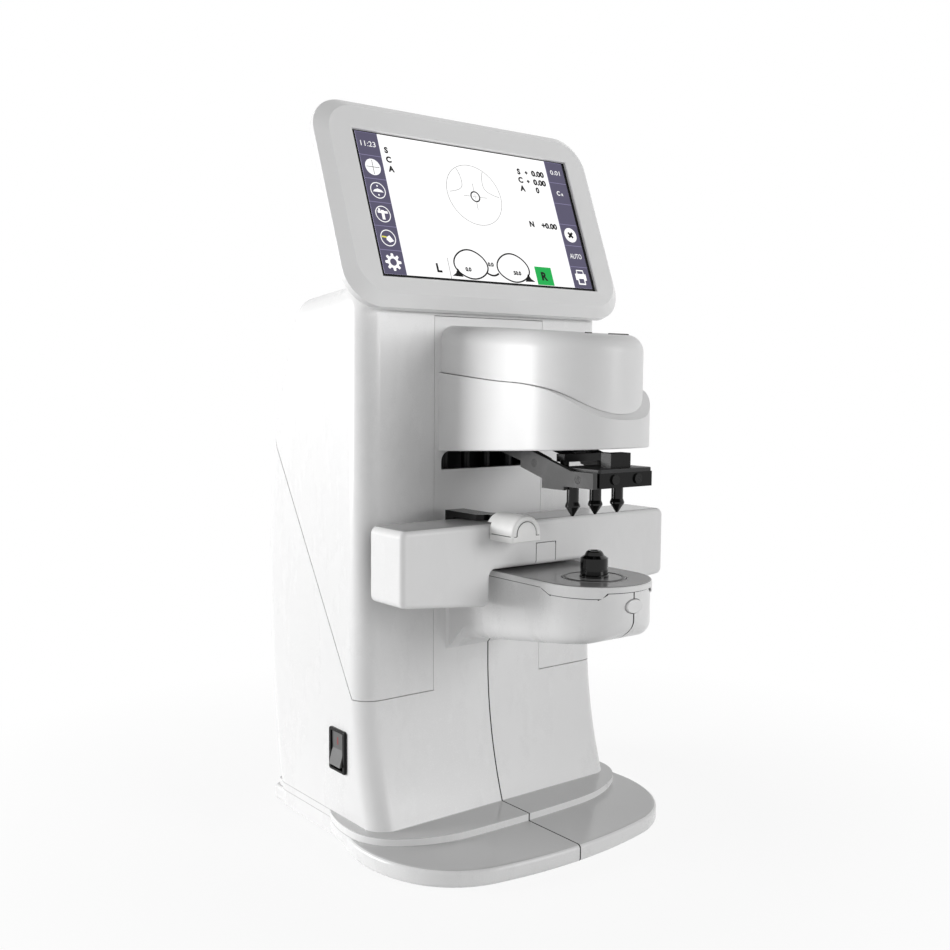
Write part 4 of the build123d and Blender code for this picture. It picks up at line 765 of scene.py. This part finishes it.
class LENSMETER_OT_insides(bpy.types.Operator):
    """Finish the frame, optics and boards behind the housings"""
    bl_idname = "lensmeter.insides"
    bl_label = "Insides"

    def execute(self, context):
        coat_nodes(plated_sheet("zinc_plate", (0.55, 0.56, 0.58)), "base_plate", "chin_bracket", "rear_panel")
        coat_nodes(coated_metal("spine_black", (0.012, 0.012, 0.013), 0.5, 0.1), "spine_plate")
        coat_nodes(brushed_metal("bright_steel", (0.6, 0.6, 0.61), (0.2, 1.0, 1.0), 0.3),
                   "housing_screws", "serial_port", "hartmann_plate")
        coat_nodes(brushed_metal("satin_aluminium", (0.72, 0.72, 0.74), (0.1, 1.0, 1.0), 0.36), "head_frame")
        coat_nodes(brushed_metal("bush_bronze", (0.62, 0.42, 0.22), (1.0, 0.3, 1.0), 0.42), "table_bushes")
        coat_nodes(coated_metal("tube_black", (0.02, 0.02, 0.02), 0.6), "lamp_tube", "receiver_tube")
        coat_nodes(clear_glass("lens_glass"), "collimator_lens")
        coat_nodes(circuit_board("board_green", (0.012, 0.12, 0.04), (0.03, 0.24, 0.08)),
                   "sensor_board", "lamp_board", "power_supply", "main_board", "display_board")
        coat_nodes(brushed_metal("panel_steel", (0.5, 0.5, 0.52), (1.0, 1.0, 0.2), 0.4), "lcd_panel")
        return {"FINISHED"}


def screen_axes(tilt):
    """The screen's directions: across along X, and up leaning back by the tilt."""
    return np.array([1.0, 0.0, 0.0]), np.array([0.0, sin(tilt), cos(tilt)])


class LENSMETER_OT_screen(bpy.types.Operator):
    """Draw the lit picture: keys down both sides, readouts, target and spectacles"""
    bl_idname = "lensmeter.screen"
    bl_label = "Screen"

    def execute(self, context):
        look = context.scene.lensmeter_screen
        across, up = screen_axes(look.tilt)
        centre, span = self.glass_face(across, up)
        self.window_lip(look, centre, across, up, span - 2 * GLASS_LAP)
        coat_nodes(lit_ink("screen_edge", look.ink, 0.0), "touch_glass")
        edge = tuple(share * 2.6 for share in look.tile)
        layers = {
            "ground": (0.05, "screen_white", look.paper, look.glow),
            "key_edges": (0.09, "screen_key_edge", edge, look.glow),
            "keys": (0.13, "screen_key", look.tile, look.glow),
            "pale_marks": (0.17, "screen_pale", look.paper, look.glow),
            "beam": (0.21, "screen_yellow", (0.75, 0.7, 0.12), look.glow),
            "key_holes": (0.21, "screen_key_hole", look.tile, look.glow),
            "black_marks": (0.21, "screen_black", look.ink, 0.0),
            "thin_lines": (0.17, "screen_grey", (0.18, 0.18, 0.18), 0.4),
            "chosen_key": (0.13, "screen_green", look.choice, look.glow),
            "chosen_letter": (0.21, "screen_dark_letter", look.ink, 0.0),
        }
        sheets = {name: Drawing(centre + look.rise * up, across, up) for name in layers}
        self.draw_keys(look, sheets)
        self.draw_readouts(sheets["black_marks"])
        self.draw_spectacles(sheets["black_marks"])
        self.draw_target(sheets["black_marks"], sheets["thin_lines"])
        sheets["chosen_key"].block(32.0, -41.9, 12.8, 11.6)
        sheets["chosen_letter"].words("R", 38.3, -36.2, 5.0, 0.04)
        for name, (lift, finish_name, colour, glow) in layers.items():
            ink = lit_ink(finish_name, colour, glow)
            sheets[name].piece(f"screen_{name}", lift, INK_WALL, ink, "display")
        return {"FINISHED"}

    @staticmethod
    def glass_face(across, up):
        """Middle of the glass's front face, with its width and height."""
        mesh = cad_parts["touch_glass"].data
        corners = np.empty(3 * len(mesh.vertices))
        mesh.vertices.foreach_get("co", corners)
        corners = corners.reshape(-1, 3)
        depth = corners @ np.cross(across, up)
        face = corners[depth > depth.max() - 1e-5]
        return (face.min(axis=0) + face.max(axis=0)) / 2, np.array([np.ptp(face @ across), np.ptp(face @ up)])

    def draw_keys(self, look, sheets):
        """The ground, and on it a column of keys down each side with a word or a sign on them."""
        half_w, half_h = look.width / MM / 2, look.height / MM / 2
        key_h = 2 * half_h / KEY_ROWS
        sheets["ground"].block(-half_w, -half_h, 2 * half_w, 2 * half_h)
        for x in (-half_w, half_w - KEY_WIDTH):
            for row in range(KEY_ROWS):
                y = half_h - (row + 1) * key_h
                sheets["keys"].block(x + 0.28, y + 0.1, KEY_WIDTH - 0.38, key_h - 0.38)
                sheets["key_edges"].block(x, y, KEY_WIDTH, key_h)
        right = [(half_w - KEY_WIDTH / 2, half_h - (row + 0.5) * key_h) for row in range(KEY_ROWS)]
        left = [(-x, y) for x, y in right]
        pale = sheets["pale_marks"]
        pale.words("11:23", *left[0], 3.2, 0.0, 9.6)
        pale.words("0.01", *right[0], 3.0, 0.0, 7.8)
        pale.words("C", right[1][0] - 1.4, right[1][1], 2.8)
        pale.words("±", right[1][0] + 1.6, right[1][1] - 0.4, 2.0)
        pale.words("AUTO", *right[4], 3.2, 0.0, 9.4)
        self.left_signs(left, sheets)
        self.right_signs(right, sheets)

    @staticmethod
    def left_signs(keys, sheets):
        """Down the left: a cross on a disc, a lens, a stand, a hand with a beam, and a gear wheel."""
        pale, marks = sheets["pale_marks"], sheets["black_marks"]
        x, y = keys[1]
        pale.disc(x, y, 4.9)
        marks.line([(x - 4.2, y), (x + 4.2, y)], 0.3)
        marks.line([(x, y - 4.2), (x, y + 4.2)], 0.3)
        x, y = keys[2]
        pale.ring(x, y, 4.6, 0.5)
        pale.shape([(x - 3.4, y - 0.9), (x + 3.4, y - 0.9), (x + 2.2, y + 0.4), (x, y + 1.1),
                    (x - 2.2, y + 0.4)])
        pale.disc(x, y + 2.7, 0.5)
        pale.disc(x, y - 2.7, 0.5)
        x, y = keys[3]
        pale.ring(x, y, 4.6, 0.5)
        pale.block(x - 3.2, y + 0.5, 6.4, 1.4)
        pale.block(x - 0.9, y - 3.2, 1.8, 5.6)
        pale.disc(x - 2.0, y + 2.6, 0.7)
        x, y = keys[4]
        pale.ring(x, y, 4.6, 0.5)
        pale.shape([(x - 1.2, y + 0.2), (x + 1.0, y + 1.6), (x + 3.4, y - 1.6), (x + 0.6, y - 2.6),
                    (x - 1.2, y - 1.2)])
        sheets["beam"].line([(x - 4.0, y + 0.6), (x - 1.0, y + 0.4)], 0.9)
        x, y = keys[5]
        turn = np.linspace(0.0, 2 * pi, 96, endpoint=False)
        radius = 4.3 + 0.8 * np.clip(3.0 * np.cos(8 * turn), -1, 1)
        pale.shape(np.stack([x + radius * np.cos(turn), y + radius * np.sin(turn)], axis=1))
        sheets["key_holes"].disc(x, y, 2.1)

    @staticmethod
    def right_signs(keys, sheets):
        """Down the right: a diagonal cross on a disc, and a printer."""
        pale, marks = sheets["pale_marks"], sheets["black_marks"]
        x, y = keys[3]
        pale.disc(x, y, 4.8)
        marks.line([(x - 1.7, y - 1.7), (x + 1.7, y + 1.7)], 1.5)
        marks.line([(x - 1.7, y + 1.7), (x + 1.7, y - 1.7)], 1.5)
        x, y = keys[5]
        pale.block(x - 4.3, y - 1.8, 8.6, 4.2)
        pale.line([(x - 2.6, y + 2.4), (x - 2.6, y + 4.6), (x + 2.6, y + 4.6), (x + 2.6, y + 2.4)], 0.8)
        pale.block(x - 2.9, y - 4.7, 5.8, 4.4)
        sheets["key_holes"].block(x - 2.0, y - 3.8, 4.0, 3.0)

    @staticmethod
    def draw_readouts(marks):
        """Letters and figures: the values beside the target, and the distances beside the spectacles."""
        for index, letter in enumerate("SCA"):
            marks.words(letter, -57.0 + 0.4 * index, 32.8 - 5.7 * index, 3.4, 0.05)
            marks.words(letter, 38.0, 32.2 - 5.6 * index, 3.5, 0.05)
        for row in (32.2, 26.4):
            marks.words("0.00", 53.0, row, 3.5, 0.05, 10.1)
            marks.words("+", 43.9, row - 0.2, 2.4, 0.08)
        marks.words("0", 49.8, 21.0, 3.5, 0.05)
        marks.words("N", 38.4, -2.4, 3.4, 0.05)
        marks.words("+0.00", 52.2, -2.5, 3.4, 0.05, 12.4)
        marks.words("L", -38.4, -36.2, 4.9, 0.045)
        for text, x, y in (("0.0", -18.0, -35.7), ("0.0", -0.9, -31.5), ("50.0", 17.7, -35.6)):
            marks.words(text, x, y, 2.3, 0.05)

    @staticmethod
    def draw_spectacles(marks):
        """Spectacles: each lens is an ellipse, taller above its middle than below, whose half width swells by
        a cosine of twice the angle. The bridge is a parabola."""
        angle = np.linspace(0.0, 2 * pi, 72, endpoint=False)
        wide = 11.1 + 0.8 * np.cos(angle * 2)
        tall = np.where(np.sin(angle) > 0, 9.6, 8.2)
        for side in (-1, 1):
            lens = np.stack([side * 15.4 + wide * np.cos(angle), -33.2 + tall * np.sin(angle)], axis=1)
            marks.line(lens, 0.9, closed=True)
            foot = ((22.6, -40.6), (30.2, -40.4), (27.4, -38.6), (25.6, -35.6))
            marks.shape([(side * x, y) for x, y in foot])
        bridge = np.linspace(-1.0, 1.0, 17)
        marks.line(np.stack([bridge * 4.4 - 0.8, -38.4 + 1.6 * bridge ** 2], axis=1), 1.1)

    @staticmethod
    def draw_target(marks, thin):
        """The aiming target: a bold ring, a large thin ellipse, two bent arcs and a broken cross. The last
        thin line stands beside the spectacles."""
        marks.ring(-0.6, 11.0, 3.1, 0.8)
        thin.line(thin.oval(-0.9, 12.0, 19.6, 19.0, 0.2, 96), 0.22, closed=True)
        bend = np.linspace(-1.0, 1.0, 25)
        reach = 7.6 + 1.4 * bend ** 2 + np.where(bend < 0, 9.0 * bend ** 4, 0.6 * bend ** 2)
        for side in (-1, 1):
            thin.line(np.stack([side * reach - 0.6, 20.2 + 7.8 * bend], axis=1), 0.22)
        for start, end, width in (((-9.0, 11.0), (-4.2, 11.0), 0.2), ((3.0, 11.0), (8.2, 11.0), 0.2),
                                  ((-0.6, 14.6), (-0.6, 19.5), 0.2), ((-0.6, 2.4), (-0.6, 7.4), 0.2),
                                  ((-2.4, 11.0), (1.2, 11.0), 0.15), ((-0.6, 9.2), (-0.6, 12.8), 0.15),
                                  ((-31.2, -29.6), (-31.4, -42.2), 0.25)):
            thin.line([start, end], width)

    @staticmethod
    def window_lip(look, centre, across, up, window):
        """A pale lip inside the window: its section goes from the window's edge inwards and down to the
        glass, and is carried round the window's rounded rectangle."""
        corner, overlap, chamfer = 0.0010, 0.00003, 0.0004
        front = GLASS_DEPTH + overlap
        section = ((-overlap, front), (look.lip - chamfer, front), (look.lip, GLASS_DEPTH - chamfer),
                   (look.lip, 0.0), (-overlap, 0.0), (-overlap, front))
        rings = []
        for inward, height in section:
            flat = rounded_outline(*(window - 2 * inward), max(corner - inward, 0.00015))
            rings.append(centre + flat[:, :1] * across + flat[:, 1:] * up + height * np.cross(across, up))
        pale = moulded_plastic("lip_white", (0.86, 0.86, 0.86), 0.24, coat=0.2)
        grid_piece("window_lip", np.stack(rings), pale, "display")


class LENSMETER_OT_pad(bpy.types.Operator):
    """Model the soft nose pad over its slider"""
    bl_idname = "lensmeter.pad"
    bl_label = "Nose pad"

    def execute(self, context):
        look = context.scene.lensmeter_pad
        low, high = (np.array(corner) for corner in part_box("nose_pad"))
        half = (high[0] - low[0]) / 2
        middle_x = (high[0] + low[0]) / 2
        spring = high[2] - half
        points = self.pad_grid(look, low, high, half, middle_x, spring)
        rubber = soft_rubber("pad_white", look.colour, 0.42)
        pad = grid_piece("soft_nose_pad", points, rubber, "pad_slider", 60.0)
        self.pad_lines(low, half, middle_x, spring)
        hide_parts("nose_pad")
        return {"FINISHED"}

    @staticmethod
    def pad_grid(look, low, high, half, middle_x, spring):
        """An arch carried along the depth. Round it, the outline climbs one flank, goes over the half circle
        and comes back along the foot. Along it, the outline grows from a point on the back face to full size,
        eased by a quarter circle at each end, and shrinks to a point on the front face. Every point near a
        groove line is pressed in by the groove's depth times a bell of its distance."""
        flank = spring - low[2]
        perimeter = 2 * flank + pi * half + 2 * half
        s = np.linspace(0.0, perimeter, 200, endpoint=False)
        x = np.empty_like(s)
        z = np.empty_like(s)
        rise = s < flank
        over = (s >= flank) & (s < flank + pi * half)
        fall = (s >= flank + pi * half) & (s < 2 * flank + pi * half)
        foot = s >= 2 * flank + pi * half
        x[rise], z[rise] = half, low[2] + s[rise]
        angle = (s[over] - flank) / half
        x[over], z[over] = half * np.cos(angle), spring + half * np.sin(angle)
        x[fall], z[fall] = -half, spring - (s[fall] - flank - pi * half)
        x[foot], z[foot] = -half + (s[foot] - 2 * flank - pi * half), low[2]
        centre_z = spring - 0.15 * flank
        ease = look.easing
        back_turn, front_turn = np.linspace(0, pi / 2, 9), np.linspace(0, pi / 2, 7)
        front_ease = 0.6 * ease
        shrink = np.concatenate([np.linspace(0.0, 1.0 - ease / half, 14, endpoint=False),
                                 1.0 - ease / half + ease / half * np.sin(back_turn),
                                 np.ones(22),
                                 1.0 - front_ease / half * (1.0 - np.cos(front_turn)),
                                 np.linspace(1.0 - front_ease / half, 0.0, 46)])
        depth = np.concatenate([np.full(14, high[1]),
                                high[1] - ease * (1.0 - np.cos(back_turn)),
                                np.linspace(high[1] - ease, low[1] + front_ease, 24)[1:-1],
                                low[1] + front_ease * (1.0 - np.sin(front_turn)),
                                np.full(46, low[1])])
        px = middle_x + shrink[:, None] * x
        pz = centre_z + shrink[:, None] * (z - centre_z)
        py = np.repeat(depth[:, None], len(s), axis=1)
        step_z = low[2] + PAD_STEP
        arch_radius = 0.68 * half
        front = np.repeat((depth < low[1] + 1e-6)[:, None], len(s), axis=1)
        beside = np.abs(px - middle_x)
        from_arch = np.where(pz > spring, np.abs(np.hypot(px - middle_x, pz - spring) - arch_radius),
                             np.abs(beside - arch_radius) + np.maximum(step_z - pz, 0.0) * 3.0)
        inside = np.where(front, np.maximum(arch_radius - beside, 0.0) * 3.0, 0.0)
        from_step = np.abs(pz - step_z) + inside
        py = py + np.where(front, look.groove * np.exp(-(from_arch / 0.00032) ** 2), 0.0)
        py = py + np.where(front, 0.5 * look.groove * np.exp(-(from_step / 0.00028) ** 2), 0.0)
        side = np.sign(px - middle_x) * (beside > half * 0.9) * ~front
        px = px - side * 0.6 * look.groove * np.exp(-(from_step / 0.00030) ** 2)
        return LENSMETER_OT_pad.saddle(px, py, pz, low, half, middle_x, spring)

    @staticmethod
    def pad_lines(low, half, middle_x, spring):
        """Dark seams pressed into the pad: an arch on its front face, x = r cos a and z = r sin a over two
        straight feet, and a level line along both flanks."""
        dark = soft_rubber("pad_seam", (0.10, 0.10, 0.10), 0.6)
        radius, step = 0.66 * half, low[2] + PAD_STEP
        angle = np.linspace(0.0, pi, 33)
        x = np.concatenate([[radius] * 8, radius * np.cos(angle), [-radius] * 8])
        feet = np.linspace(step, spring, 9)[:-1]
        z = np.concatenate([feet, spring + radius * np.sin(angle), feet[::-1]])
        front = low[1] + 0.00042
        arch = np.stack([middle_x + x, np.full_like(x, front), z], axis=1)
        tube("pad_arch_seam", arch, 0.00024, dark, "pad_slider")
        for side, hand in ((-1, "left"), (1, "right")):
            ahead = middle_x + side * np.linspace(radius, half - 0.0008, 10)
            corner = np.stack([ahead, np.full(10, front - 0.0001), np.full(10, step)], axis=1)
            tube(f"pad_front_seam_{hand}", corner, 0.0002, dark, "pad_slider")
            back = np.linspace(low[1] + 0.0016, low[1] + 0.0180, 24)
            beside = np.full(24, middle_x + side * (half - 0.0003))
            flank = np.stack([beside, back, np.full(24, step)], axis=1)
            tube(f"pad_flank_seam_{hand}", flank, 0.00024, dark, "pad_slider")

    @staticmethod
    def saddle(px, py, pz, low, half, middle_x, spring):
        """Behind the table's edge only the arch above the table's top goes on: there a height is at least the
        saddle's foot, and a width at most the arch's width at that height."""
        foot = low[2] + PAD_FOOT
        edge = low[1] + PAD_EDGE
        reach = np.sqrt(half ** 2 - (foot - spring) ** 2)
        behind = py > edge
        flat_z = np.maximum(pz, foot)
        flat_x = middle_x + np.clip(px - middle_x, -reach, reach)
        split = int(np.argmin(behind[:, 0]))
        rows = np.stack([np.where(behind, flat_x, px), py, np.where(behind, flat_z, pz)], axis=-1)
        whole = np.stack([px[split - 1], np.full(px.shape[1], edge), pz[split - 1]], axis=-1)
        clipped = np.stack([flat_x[split - 1], np.full(px.shape[1], edge), flat_z[split - 1]], axis=-1)
        return np.concatenate([rows[:split], clipped[None], whole[None], rows[split:]])


class LENSMETER_OT_trims(bpy.types.Operator):
    """Add the head's top strips, the painted shadow line under the stage lid, the switch's marks and the
    rest's ring
    """
    bl_idname = "lensmeter.trims"
    bl_label = "Trims"

    def execute(self, context):
        self.top_strips()
        self.lid_shadow()
        self.switch_marks()
        self.rest_rim()
        return {"FINISHED"}

    @staticmethod
    def top_strips():
        """Low strips on the head's sloping roof. Each is a slab with a height of the roof's line plus a crown
        that falls off towards the rim by a square."""
        middle, way = flat_face("head_upper_cover", (0.0, -0.068, 0.9977))
        strip_black = moulded_plastic("strip_black", (0.03, 0.03, 0.03), 0.3, grain=0.1)
        rest_low, rest_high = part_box("lens_rest")
        axis = (rest_low[1] + rest_high[1]) / 2
        u, v = np.linspace(-1.0, 1.0, 25), np.linspace(-1.0, 1.0, 13)
        count = u.size * v.size
        faces_top = grid_faces(u.size, v.size, close=False)
        index = np.arange(count).reshape(u.size, v.size)
        rim = np.concatenate([index[0, :-1], index[:-1, -1], index[-1, :0:-1], index[:0:-1, 0]])
        after = np.roll(rim, -1)
        skirt = np.stack([rim, after, after + count, rim + count], axis=-1)
        faces = np.concatenate([faces_top, faces_top[:, ::-1] + count, skirt])
        edge = np.maximum(np.abs(u)[:, None], np.abs(v)[None, :])
        crown = 0.0007 * (1 - np.clip((edge - 0.86) / 0.14, 0, 1) ** 2)
        for number, (left, right, near, far) in enumerate(TOP_STRIPS, start=1):
            grid_x = (left + right) / 2 + (right - left) / 2 * np.sign(u) * (1 - (1 - np.abs(u)) ** 1.3)
            grid_y = axis + (near + far) / 2 + (far - near) / 2 * np.sign(v) * (1 - (1 - np.abs(v)) ** 1.3)
            xx, yy = np.meshgrid(grid_x, grid_y, indexing="ij")
            roof = middle[2] - ((xx - middle[0]) * way[0] + (yy - middle[1]) * way[1]) / way[2]
            layers = [np.stack([xx, yy, height], axis=-1) for height in (roof + crown, roof - 0.0003)]
            put_mesh(f"head_strip_{number}", np.stack(layers), faces, strip_black, "stand")

    @staticmethod
    def lid_shadow():
        """Painted shadow: a dark line that stands in for the shade under the lid and its skirt. Its path is
        the chin's outline: a straight flank, a half circle and the other flank. It drops by the skirt's depth
        between the skirt's sloping ends, and is deeper along these slopes. Its section is a narrow upright
        rectangle, set into the chin."""
        turn = np.linspace(0.0, pi, 181)
        side = np.ones(120)
        nose_y = AXIS_Y - CHIN_REACH + CHIN_HALF
        flank_y = np.linspace(COLUMN_FRONT - 0.001, nose_y, side.size, endpoint=False)
        out_x = np.concatenate([side, np.cos(turn), -side])
        out_y = np.concatenate([0 * side, -np.sin(turn), 0 * side])
        radius = CHIN_HALF + 0.00003
        x = radius * out_x
        y = np.concatenate([flank_y, np.full(turn.size, nose_y), flank_y[::-1]]) + radius * out_y
        behind = np.clip((AXIS_Y + SKIRT_BACK - y) / SKIRT_SLOPE, 0.0, 1.0)
        beside = np.clip((np.abs(x) - NOTCH_HIGH) / (NOTCH_LOW - NOTCH_HIGH), 0.0, 1.0)
        share = behind * np.where(y < nose_y, beside, 1.0)
        depth = np.where(np.isin(share, (0.0, 1.0)), SHADOW_DEPTH, SLOPE_SHADOW_DEPTH)
        edge = CHIN_TOP - LID_SKIRT * share
        above, inward = 0.0003, 0.0004
        section = ((0.0, edge + above), (0.0, edge - depth), (inward, edge - depth), (inward, edge + above))
        points = np.stack([np.stack([x - out_x * deep, y - out_y * deep, z], axis=1) for deep, z in section],
                          axis=1)
        ends = points[[0, -1]].mean(axis=1, keepdims=True).repeat(4, axis=1)
        points = np.concatenate([ends[:1], points, ends[1:]])
        # painted shadow: the strip's near black stands in for the shade under the lid's edge
        dark = moulded_plastic("shadow_line", (0.03, 0.03, 0.03), 0.6, shine=0.1)
        grid_piece("lid_shadow_line", points, dark, "stand", 60.0)

    @staticmethod
    def switch_marks():
        """The rocker's two generic marks: a bar on its upper half and a ring on its lower half."""
        red = moulded_plastic("mark_red", (0.30, 0.02, 0.025), 0.4)
        low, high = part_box("power_rocker")
        half_way = (low[2] + high[2]) / 2
        for name, limits in (("bar", {"above": half_way}), ("ring", {"below": half_way})):
            spot, out = flat_face("power_rocker", (-1.0, 0.0, 0.0), **limits)
            up = np.array([0.0, 0.0, 1.0]) - out * out[2]
            up /= np.linalg.norm(up)
            mark = Drawing(spot, np.cross(up, out), up)
            if name == "bar":
                mark.block(-0.45, -2.1, 0.9, 4.2)
            else:
                mark.line(mark.oval(0, 0, 1.7, 2.1), 0.8, closed=True)
            mark.piece(f"switch_{name}", 0.05, 0.1, red, "rocker")

    @staticmethod
    def rest_rim():
        """A thin dark ring in the rest plate: a small half-round section turned about the optical axis."""
        low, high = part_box("rest_plate")
        centre = ((low[0] + high[0]) / 2, (low[1] + high[1]) / 2, 0.0)
        ring_radius = (high[0] - low[0]) / 2 - 0.0004
        turn = np.linspace(0.0, pi, 9)
        arch = np.stack([ring_radius - 0.0010 + 0.0008 * np.cos(turn),
                         high[2] - 0.00005 + 0.00035 * np.sin(turn)], axis=1)
        foot = high[2] - 0.0002
        profile = np.vstack([arch, [(ring_radius - 0.0018, foot), (ring_radius - 0.0002, foot)], arch[:1]])
        dark = moulded_plastic("line_dark", (0.006, 0.006, 0.006), 0.3)
        grid_piece("rest_plate_line", turned_profile(centre, profile, 96), dark, "stand")


class LENSMETER_OT_stage(bpy.types.Operator):
    """Set the floor, lamps, surrounding light and camera"""
    bl_idname = "lensmeter.stage"
    bl_label = "Studio"

    def execute(self, context):
        look = context.scene.lensmeter_studio
        self.room_light(look)
        self.pale_floor(look)
        self.lamp("side_lamp", look.side, (-1.6, 1.15, 0.45), (0.0, 0.0, 0.2), 1.1)
        self.lamp("front_lamp", look.front, (0.9, -1.9, 0.7), (0.0, 0.0, 0.2), 1.0)
        self.photo_camera()
        return {"FINISHED"}

    @staticmethod
    def white_rays(finish):
        """One for rays that should see the white room: straight from the camera, mirrored or let through."""
        path = finish.node("ShaderNodeLightPath", out="Is Camera Ray")
        outputs = path.socket.node.outputs
        glossy = Value(finish.tree, outputs["Is Glossy Ray"])
        through = Value(finish.tree, outputs["Is Transmission Ray"])
        return (path + glossy + through).clamped()

    def room_light(self, look):
        world = bpy.data.worlds.new("studio_room")
        bpy.context.scene.world = world
        world.use_nodes = True
        finish = Finish(world.node_tree)
        way = finish.axes(finish.node("ShaderNodeTexCoord", out="Generated"))
        lift = abs(way[2]).ramp(0.1, 0.85)
        level = look.horizon + lift * (look.zenith - look.horizon)
        grey = finish.node("ShaderNodeCombineColor", values={0: level, 1: level, 2: level})
        tone = finish.blend(self.white_rays(finish), grey, (1.0, 1.0, 1.0, 1.0))
        light = finish.node("ShaderNodeBackground", values={"Color": tone, "Strength": 1.0})
        finish.node("ShaderNodeOutputWorld", values={"Surface": light})

    def pale_floor(self, look):
        """A round floor: rings of points about the middle, in polar steps."""
        radius = np.linspace(0.0, look.floor, 40)
        turn = np.linspace(0.0, 2 * pi, 96, endpoint=False)
        points = np.stack([radius[:, None] * np.cos(turn), radius[:, None] * np.sin(turn),
                           np.zeros((40, 96))], axis=-1)
        material, finish, place = new_finish("pale_floor")
        x, y, _ = finish.axes(place)
        away = (x * x + y * y) ** 0.5
        grain = finish.noise(place, 300.0, 2.0)
        matt = finish.node("ShaderNodeBsdfDiffuse", values={
            "Color": finish.blend(grain, (0.86, 0.86, 0.86, 1.0), (0.88, 0.88, 0.88, 1.0)), "Roughness": 0.8})
        white = finish.node("ShaderNodeEmission", values={"Color": (1.0, 1.0, 1.0, 1.0), "Strength": 1.0})
        share = self.white_rays(finish) * (0.9 + away.ramp(0.16, 0.4) * 0.1)
        both = finish.node("ShaderNodeMixShader", values={0: share, 1: matt, 2: white})
        finish.node("ShaderNodeOutputMaterial", values={"Surface": both})
        grid_piece("studio_floor", points, material, None)

    @staticmethod
    def lamp(name, power, place, target, size):
        data = bpy.data.lights.new(name, "AREA")
        data.energy = power
        data.shape = "DISK"
        data.size = size
        made = add_object(name, data)
        made.location = place
        made.rotation_euler = (Vector(target) - Vector(place)).to_track_quat("-Z", "Y").to_euler()

    @staticmethod
    def photo_camera():
        """Camera of the photograph: heading, dip and roll, then a lens as long as the frame's width asks."""
        right = np.array([cos(HEADING), -sin(HEADING), 0.0])
        level = np.array([sin(HEADING), cos(HEADING), 0.0])
        up = np.array([0.0, 0.0, 1.0])
        ahead = level * cos(DIP) - up * sin(DIP)
        above = level * sin(DIP) + up * cos(DIP)
        turned_right = right * cos(ROLL) + above * sin(ROLL)
        turned_above = above * cos(ROLL) - right * sin(ROLL)
        data = bpy.data.cameras.new("photo_camera")
        data.sensor_width = SENSOR
        data.lens = SENSOR * FOCAL / FRAME_WIDTH
        camera = add_object("photo_camera", data)
        axes = np.stack([turned_right, turned_above, -ahead, CAMERA_PLACE], axis=1)
        camera.matrix_world = Matrix((*axes.tolist(), (0.0, 0.0, 0.0, 1.0)))
        bpy.context.scene.camera = camera
        bpy.context.scene.view_settings.view_transform = "Standard"


STEPS = (LENSMETER_OT_shells, LENSMETER_OT_mechanism, LENSMETER_OT_insides, LENSMETER_OT_screen,
         LENSMETER_OT_pad, LENSMETER_OT_trims, LENSMETER_OT_stage)


class LENSMETER_PT_panel(bpy.types.Panel):
    """Sidebar panel that lists the steps and their sizes and colours"""
    bl_idname = "LENSMETER_PT_panel"
    bl_label = "Auto lensmeter"
    bl_space_type = "VIEW_3D"
    bl_region_type = "UI"
    bl_category = "Lensmeter"

    def draw(self, context):
        for step in STEPS:
            self.layout.operator(step.bl_idname)
        for name, group in GROUPS.items():
            box = self.layout.box()
            for key in group.__annotations__:
                box.prop(getattr(context.scene, name), key)


def register():
    for name, group in GROUPS.items():
        bpy.utils.register_class(group)
        setattr(bpy.types.Scene, name, bpy.props.PointerProperty(type=group))
    for kind in (*STEPS, LENSMETER_PT_panel):
        bpy.utils.register_class(kind)


def unregister():
    for kind in (*STEPS, LENSMETER_PT_panel):
        bpy.utils.unregister_class(kind)
    for name, group in GROUPS.items():
        delattr(bpy.types.Scene, name)
        bpy.utils.unregister_class(group)


def main():
    """Register the add-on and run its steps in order."""
    register()
    for step in STEPS:
        group, name = step.bl_idname.split(".")
        getattr(getattr(bpy.ops, group), name)()


if __name__ == "__main__":
    main()
